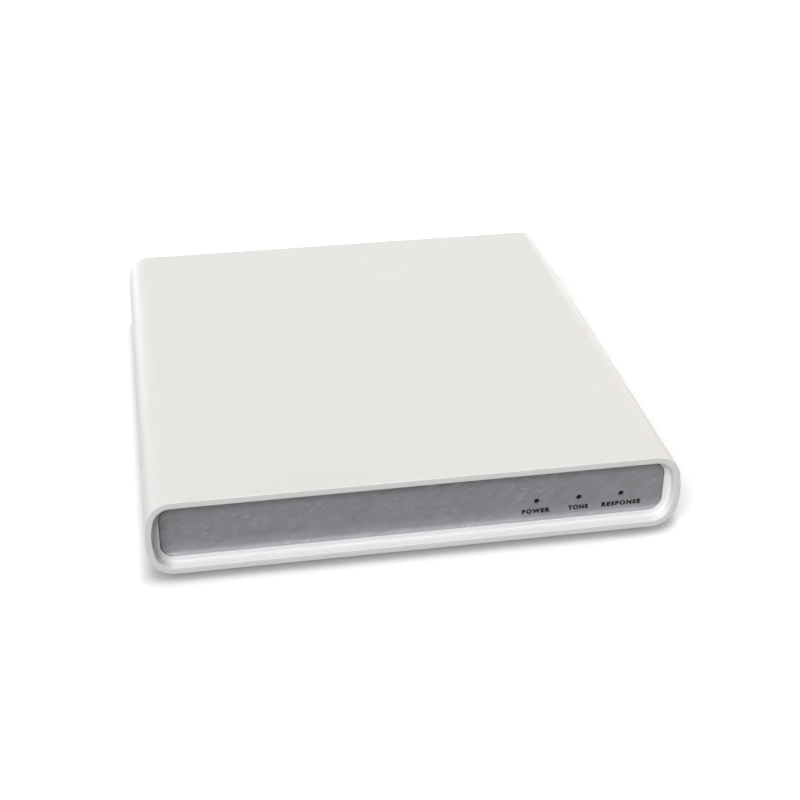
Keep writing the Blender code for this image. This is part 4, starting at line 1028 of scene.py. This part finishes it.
class AUDIOMETER_OT_data_socket(bpy.types.Operator):
    """Build the square data socket with its tongue and contacts"""
    bl_idname = "audiometer.data_socket"
    bl_label = "Data socket"

    def execute(self, context):
        low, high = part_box("usb_shell")
        centre = centre_of("usb_shell")
        insert_low, insert_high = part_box("usb_insert")
        mouth_half = box_half("usb_insert") + Vector((FIT_GAP, 0, FIT_GAP))
        radii = (FIT_GAP, MOUTH_CHAMFER)
        bm = bmesh.new()
        outer = node_outline(bm, "usb_shell", SOCKET_CORNER)
        mouth = partial(corner_loop, bm, centre, mouth_half.x, mouth_half.z, radii, segments=1)
        shell = edged_wall(outer, high.y, low.y, -FIT_GAP / 2, 3)
        well = edged_wall(mouth, high.y, insert_low.y - FIT_GAP, FIT_GAP, 3)
        close_stack(bm, shell[::-1] + well)
        add_piece("data_socket_shell", bm, "tin_plate", ("usb_shell",))

        bm = bmesh.new()
        base = partial(corner_loop, bm, centre, mouth_half.x - SEAM, mouth_half.z - SEAM, radii,
                       segments=1)
        base_y = insert_low.y + (insert_high.y - insert_low.y) / 4
        tongue = partial(corner_loop, bm, centre, TONGUE_HALF_WIDTH, TONGUE_HALF_HEIGHT,
                         (TONGUE_ROUND, TONGUE_ROUND))
        tip = rounded_edge(tongue, insert_high.y, -1, -FIT_GAP, 3)
        close_stack(bm, [base(0, insert_low.y), base(0, base_y), tongue(0, base_y)] + tip[::-1])
        add_piece("data_socket_tongue", bm, "black_nylon", ("usb_insert",))

        bm = bmesh.new()
        for side_x, side_z in CORNERS:
            x = centre[0] + side_x * CONTACT_SPREAD
            z = centre[1] + side_z * TONGUE_HALF_HEIGHT
            add_block(bm, (x - CONTACT_HALF_WIDTH, base_y, z - SEAM),
                      (x + CONTACT_HALF_WIDTH, insert_high.y - CONTACT_SETBACK, z + SEAM), SEAM / 2)
        add_piece("data_socket_contacts", bm, "nickel_brass", paint="gold_contact")
        return {"FINISHED"}


class AUDIOMETER_OT_supply_inlet(bpy.types.Operator):
    """Build the arched supply inlet with its pin and spring contact"""
    bl_idname = "audiometer.supply_inlet"
    bl_label = "Supply inlet"

    def execute(self, context):
        low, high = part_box("supply_inlet")
        pin_low, pin_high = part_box("supply_inlet_pin")
        centre = centre_of("supply_inlet_pin")
        bm = bmesh.new()
        arch = partial(arch_loop, bm, centre, box_half("supply_inlet").x, low.z)
        shell = edged_wall(arch, high.y, low.y, -FIT_GAP, 3)
        bore = partial(circle_loop, bm, centre, INLET_BORE_RADIUS)
        well = edged_wall(bore, high.y, pin_low.y - FIT_GAP, FIT_GAP, 3)
        close_stack(bm, shell[::-1] + well)
        add_piece("supply_socket", bm, "black_nylon", ("supply_inlet",))

        radius = box_half("supply_inlet_pin").x
        span = pin_high.y - pin_low.y
        bm = bmesh.new()
        profile = [(0, 0), (radius, 0)] + [(radius * out, span - radius * back) for out, back in PIN_NOSE]
        lathe(bm, profile, Vector((centre[0], pin_low.y, centre[1])), TRAVEL, SMALL_SEGMENTS)
        add_piece("supply_socket_pin", bm, "nickel_brass", ("supply_inlet_pin",))

        bm = bmesh.new()
        half = radius * SPRING_SHARE
        leaf_z = centre[1] - INLET_BORE_RADIUS
        add_block(bm, (centre[0] - half, pin_low.y, leaf_z - SEAM),
                  (centre[0] + half, pin_high.y - radius, leaf_z + FIT_GAP), SEAM)
        add_piece("supply_socket_spring", bm, "nickel_brass")
        return {"FINISHED"}


class AUDIOMETER_OT_power_switch(bpy.types.Operator):
    """Build the rocker switch: its frame, the rocker and the two marks"""
    bl_idname = "audiometer.power_switch"
    bl_label = "Power switch"

    def execute(self, context):
        pivot = Vector(frame["joints"][0]["pos_m"])
        low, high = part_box("switch_housing")
        half_z = box_half("switch_housing").z
        lift = ROCKER_CREST + ROCKER_HALF_LENGTH * math.tan(ROCKER_TILT)
        reach = math.hypot(ROCKER_HALF_LENGTH, lift)
        bm = bmesh.new()
        outer = node_outline(bm, "switch_housing", SOCKET_CORNER)
        opening = partial(corner_loop, bm, centre_of("switch_housing"), reach + FIT_GAP,
                          half_z - SWITCH_WALL, (FIT_GAP, FIT_GAP))
        shell = edged_wall(outer, high.y, low.y, -SWITCH_ROUND)
        well = edged_wall(opening, high.y, pivot.y - SWITCH_WELL_DEPTH, FIT_GAP / 2, 3)
        close_stack(bm, shell[::-1] + well)
        add_piece("switch_frame", bm, "black_nylon", ("switch_housing",))

        at_rest = Matrix.Translation(pivot) @ Matrix.Rotation(-ROCKER_TILT, 4, "Z")
        bm = bmesh.new()
        self.rocker_shape(bm, reach, math.atan2(lift, ROCKER_HALF_LENGTH),
                          half_z - SWITCH_WALL - FIT_GAP)
        bmesh.ops.transform(bm, matrix=at_rest, verts=bm.verts)
        add_piece("rocker", bm, "rocker_gloss", ("power_rocker",), "rocker")
        self.add_marks(at_rest)
        return {"FINISHED"}

    def rocker_shape(self, bm, reach, edge_angle, half_z):
        """Side view of the rocker, one end spun about the pivot and mirrored, drawn out along Z."""
        start = bm.verts.new((reach * math.cos(ROCKER_SKIRT), -reach * math.sin(ROCKER_SKIRT), -half_z))
        last = spin_vertex(bm, start, (0, 0, -half_z), edge_angle + ROCKER_SKIRT, ROUND_SEGMENTS * 2, UP)
        ridge = bm.verts.new((0, ROCKER_CREST, -half_z))
        keel = bm.verts.new((*ROCKER_KEEL, -half_z))
        base = bm.verts.new((0, ROCKER_KEEL[1], -half_z))
        for pair in ((last, ridge), (start, keel), (keel, base)):
            bm.edges.new(pair)
        bmesh.ops.mirror(bm, geom=bm.verts[:] + bm.edges[:], axis="X", merge_dist=OVERLAP)
        bmesh.ops.contextual_create(bm, geom=bm.edges[:])
        draw_out(bm, bm.faces[:], (0, 0, half_z * 2))
        bevel(bm, [edge for edge in bm.edges if edge.calc_face_angle(0) > SHARP_ANGLE], ROCKER_ROUND)

    def add_marks(self, at_rest):
        """A bar for on and a ring for off, printed on the two slopes of the rocker."""
        along = ROCKER_HALF_LENGTH * MARK_PLACE_SHARE
        for name, side in (("rocker_mark_off", 1), ("rocker_mark_on", -1)):
            slope = Matrix.Rotation(side * ROCKER_TILT, 4, "Z")
            rise = ROCKER_CREST + along * math.tan(ROCKER_TILT)
            foot = Matrix.Translation((side * along, rise, 0)) @ slope
            bm = bmesh.new()
            if side > 0:
                inner, outer = RING_RADII
                lathe(bm, [(inner, -OVERLAP), (outer, -OVERLAP), (outer, OVERLAP), (inner, OVERLAP),
                           (inner, -OVERLAP)], Vector((0, 0, 0)), TRAVEL, BORE_SEGMENTS)
            else:
                corner = Vector((BAR_HALF_WIDTH, OVERLAP, BAR_HALF_HEIGHT))
                add_block(bm, -corner, corner)
            bmesh.ops.transform(bm, matrix=at_rest @ foot, verts=bm.verts)
            add_piece(name, bm, "rocker_gloss", body="rocker", paint="marking_paint")


class AUDIOMETER_OT_feet(bpy.types.Operator):
    """Turn the four rubber feet"""
    bl_idname = "audiometer.feet"
    bl_label = "Feet"

    def execute(self, context):
        for node in frame["nodes"]:
            if not node.startswith("foot_"):
                continue
            low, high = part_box(node)
            middle = box_middle(node)
            radius = box_half(node).x
            base = radius - FOOT_TAPER
            profile = [(0, FIT_GAP), (base - FOOT_ROUND * 3, FIT_GAP), (base - FOOT_ROUND * 2.4, 0)]
            for step in range(ROUND_SEGMENTS * 2 + 1):
                angle = QUARTER_TURN * step / (ROUND_SEGMENTS * 2)
                profile.append((base - FOOT_ROUND * (1 - math.sin(angle)),
                                FOOT_ROUND * (1 - math.cos(angle))))
            profile += [(radius, high.z - low.z), (0, high.z - low.z)]
            bm = bmesh.new()
            lathe(bm, profile, Vector((middle.x, middle.y, low.z)), UP, BORE_SEGMENTS)
            add_piece("rubber_" + node, bm, "grey_rubber", (node,))
        return {"FINISHED"}


class AUDIOMETER_OT_inner_parts(bpy.types.Operator):
    """Dress the board and the parts on it, whose solids stay as they are"""
    bl_idname = "audiometer.inner_parts"
    bl_label = "Inner parts"

    nodes_in = {
        "green_laminate": ("main_board",),
        "mould_compound": ("signal_processor", "tone_converter", "data_link_chip"),
        "relay_white": ("left_output_relay", "right_output_relay"),
        "capacitor_film": ("supply_capacitor_1", "supply_capacitor_2", "supply_capacitor_3"),
        "ferrite": ("supply_inductor",),
        "tin_plate": ("output_shield", "clock_crystal"),
        "black_aluminium": ("regulator_heat_sink",),
        "led_epoxy": ("power_led", "tone_led", "response_led"),
    }

    def execute(self, context):
        for finish, nodes in self.nodes_in.items():
            for node in nodes:
                materials = frame["nodes"][node].data.materials
                materials.clear()
                materials.append(MADE_FINISHES[finish])
        return {"FINISHED"}


class AUDIOMETER_OT_studio(bpy.types.Operator):
    """Set the floor, the lights and the camera"""
    bl_idname = "audiometer.studio"
    bl_label = "Studio"

    def execute(self, context):
        self.add_floor()
        for name, (toward, strength, spread, tone) in SUNS.items():
            light = bpy.data.lights.new(name, "SUN")
            light.energy = strength
            light.angle = math.radians(spread)
            light.color = tone
            place_object(name, light).rotation_euler = Vector(toward).to_track_quat("Z", "Y").to_euler()
        self.add_rear_strip()
        self.set_world(context.scene)
        self.add_camera(context.scene)
        context.scene.view_settings.view_transform = "Standard"
        return {"FINISHED"}

    def seen_directly(self, tree):
        """1 for rays that show the backdrop: from the camera, or by way of a glossy or clear surface."""
        path = add_node(tree, "ShaderNodeLightPath")
        seen = path.outputs["Is Camera Ray"]
        for other in ("Is Glossy Ray", "Is Transmission Ray"):
            seen = add_node(tree, "ShaderNodeMath", {0: seen, 1: path.outputs[other]},
                            operation="MAXIMUM").outputs["Value"]
        return seen

    def add_floor(self):
        """Plain pale floor that shows white, with the object's shadow kept and a soft contact shade
        painted into its colour from ambient occlusion.
        """
        bm = bmesh.new()
        bmesh.ops.create_grid(bm, x_segments=1, y_segments=1, size=FLOOR_SIZE)
        mesh = bpy.data.meshes.new("floor")
        bm.to_mesh(mesh)
        bm.free()
        material = bpy.data.materials.new("paper_white_matt")
        material.use_nodes = True
        tree = material.node_tree
        tree.nodes.remove(tree.nodes["Principled BSDF"])
        seen = self.seen_directly(tree)
        # Painted shade: ambient occlusion darkens the floor's colour next to the object
        near = add_node(tree, "ShaderNodeAmbientOcclusion", {"Distance": CONTACT_REACH}, samples=8)
        contact = add_node(tree, "ShaderNodeMapRange",
                           {"Value": near.outputs["AO"], "From Min": CONTACT_OPENNESS,
                            "To Min": CONTACT_DARKNESS, "To Max": 1.0})
        tone = add_node(tree, "ShaderNodeMix", {0: seen, 6: FLOOR_BOUNCE, 7: contact.outputs["Result"]},
                        data_type="RGBA")
        paper = add_node(tree, "ShaderNodeBsdfDiffuse", {"Color": tone.outputs[2]})
        lift = add_node(tree, "ShaderNodeMath", {0: seen, 1: FLOOR_GLOW}, operation="MULTIPLY")
        glow = add_node(tree, "ShaderNodeEmission", {"Strength": lift.outputs["Value"]})
        both = add_node(tree, "ShaderNodeAddShader",
                        {0: paper.outputs["BSDF"], 1: glow.outputs["Emission"]})
        tree.links.new(both.outputs["Shader"], tree.nodes["Material Output"].inputs["Surface"])
        mesh.materials.append(material)
        place_object("floor", mesh)

    def add_rear_strip(self):
        """Long low lamp behind the object; it ends below the case's top, so it lights only the back."""
        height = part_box("case_sleeve")[1].z - STRIP_BELOW_TOP
        light = bpy.data.lights.new("rear_strip", "AREA")
        light.shape = "RECTANGLE"
        light.size, light.size_y = STRIP_WIDTH, height
        light.energy = STRIP_POWER
        lamp = place_object("rear_strip", light)
        lamp.location = (0, STRIP_DISTANCE, height / 2 + STRIP_LIFT)
        lamp.rotation_euler = TRAVEL.to_track_quat("Z", "Y").to_euler()
        lamp.visible_camera = False

    def set_world(self, scene):
        """Even cool light from all round; white where it is seen directly."""
        scene.world = bpy.data.worlds.new("studio_white")
        scene.world.use_nodes = True
        tree = scene.world.node_tree
        fill_light = tree.nodes["Background"]
        fill_light.inputs["Color"].default_value = FILL_COLOUR
        fill_light.inputs["Strength"].default_value = FILL_STRENGTH
        white = add_node(tree, "ShaderNodeBackground", {"Color": (1, 1, 1, 1), "Strength": 1.0})
        mix = add_node(tree, "ShaderNodeMixShader",
                       {0: self.seen_directly(tree), 1: fill_light.outputs["Background"],
                        2: white.outputs["Background"]})
        tree.links.new(mix.outputs["Shader"], tree.nodes["World Output"].inputs["Surface"])

    def add_camera(self, scene):
        """Camera at the photograph's angle and distance."""
        data = bpy.data.cameras.new("camera")
        data.lens = CAMERA_LENS_MM
        data.sensor_width = CAMERA_SENSOR_MM
        data.clip_start = 0.01
        scene.camera = place_object("camera", data)
        scene.camera.location = CAMERA_PLACE
        scene.camera.rotation_euler = [math.radians(angle) for angle in CAMERA_TURN]


class AUDIOMETER_PT_looks(bpy.types.Panel):
    """Sizes, colours and building steps of the audiometer"""
    bl_idname = "AUDIOMETER_PT_looks"
    bl_label = "Audiometer"
    bl_space_type = "VIEW_3D"
    bl_region_type = "UI"
    bl_category = "Audiometer"

    def draw(self, context):
        layout = self.layout
        for name, group in GROUPS.items():
            box = layout.box()
            box.label(text=group.__doc__)
            for size in group.__annotations__:
                box.prop(getattr(context.scene, name), size)
        for step in STEPS:
            layout.operator(step.bl_idname)


GROUPS = {
    "audiometer_case": CaseSizes,
    "audiometer_front": FrontSizes,
    "audiometer_rear": RearSizes,
    "audiometer_finishes": Finishes,
}
STEPS = (
    AUDIOMETER_OT_finishes,
    AUDIOMETER_OT_case_shell,
    AUDIOMETER_OT_front_plate,
    AUDIOMETER_OT_silver_panel,
    AUDIOMETER_OT_lamp_tips,
    AUDIOMETER_OT_screws,
    AUDIOMETER_OT_rear_plate,
    AUDIOMETER_OT_jack_sockets,
    AUDIOMETER_OT_data_socket,
    AUDIOMETER_OT_supply_inlet,
    AUDIOMETER_OT_power_switch,
    AUDIOMETER_OT_feet,
    AUDIOMETER_OT_inner_parts,
    AUDIOMETER_OT_studio,
)


def register():
    for name, group in GROUPS.items():
        bpy.utils.register_class(group)
        setattr(bpy.types.Scene, name, PointerProperty(type=group))
    for item in (*STEPS, AUDIOMETER_PT_looks):
        bpy.utils.register_class(item)


def unregister():
    for item in (AUDIOMETER_PT_looks, *reversed(STEPS)):
        bpy.utils.unregister_class(item)
    for name, group in GROUPS.items():
        delattr(bpy.types.Scene, name)
        bpy.utils.unregister_class(group)


def main():
    register()
    for step in STEPS:
        group, action = step.bl_idname.split(".")
        getattr(getattr(bpy.ops, group), action)()


if __name__ == "__main__":
    main()
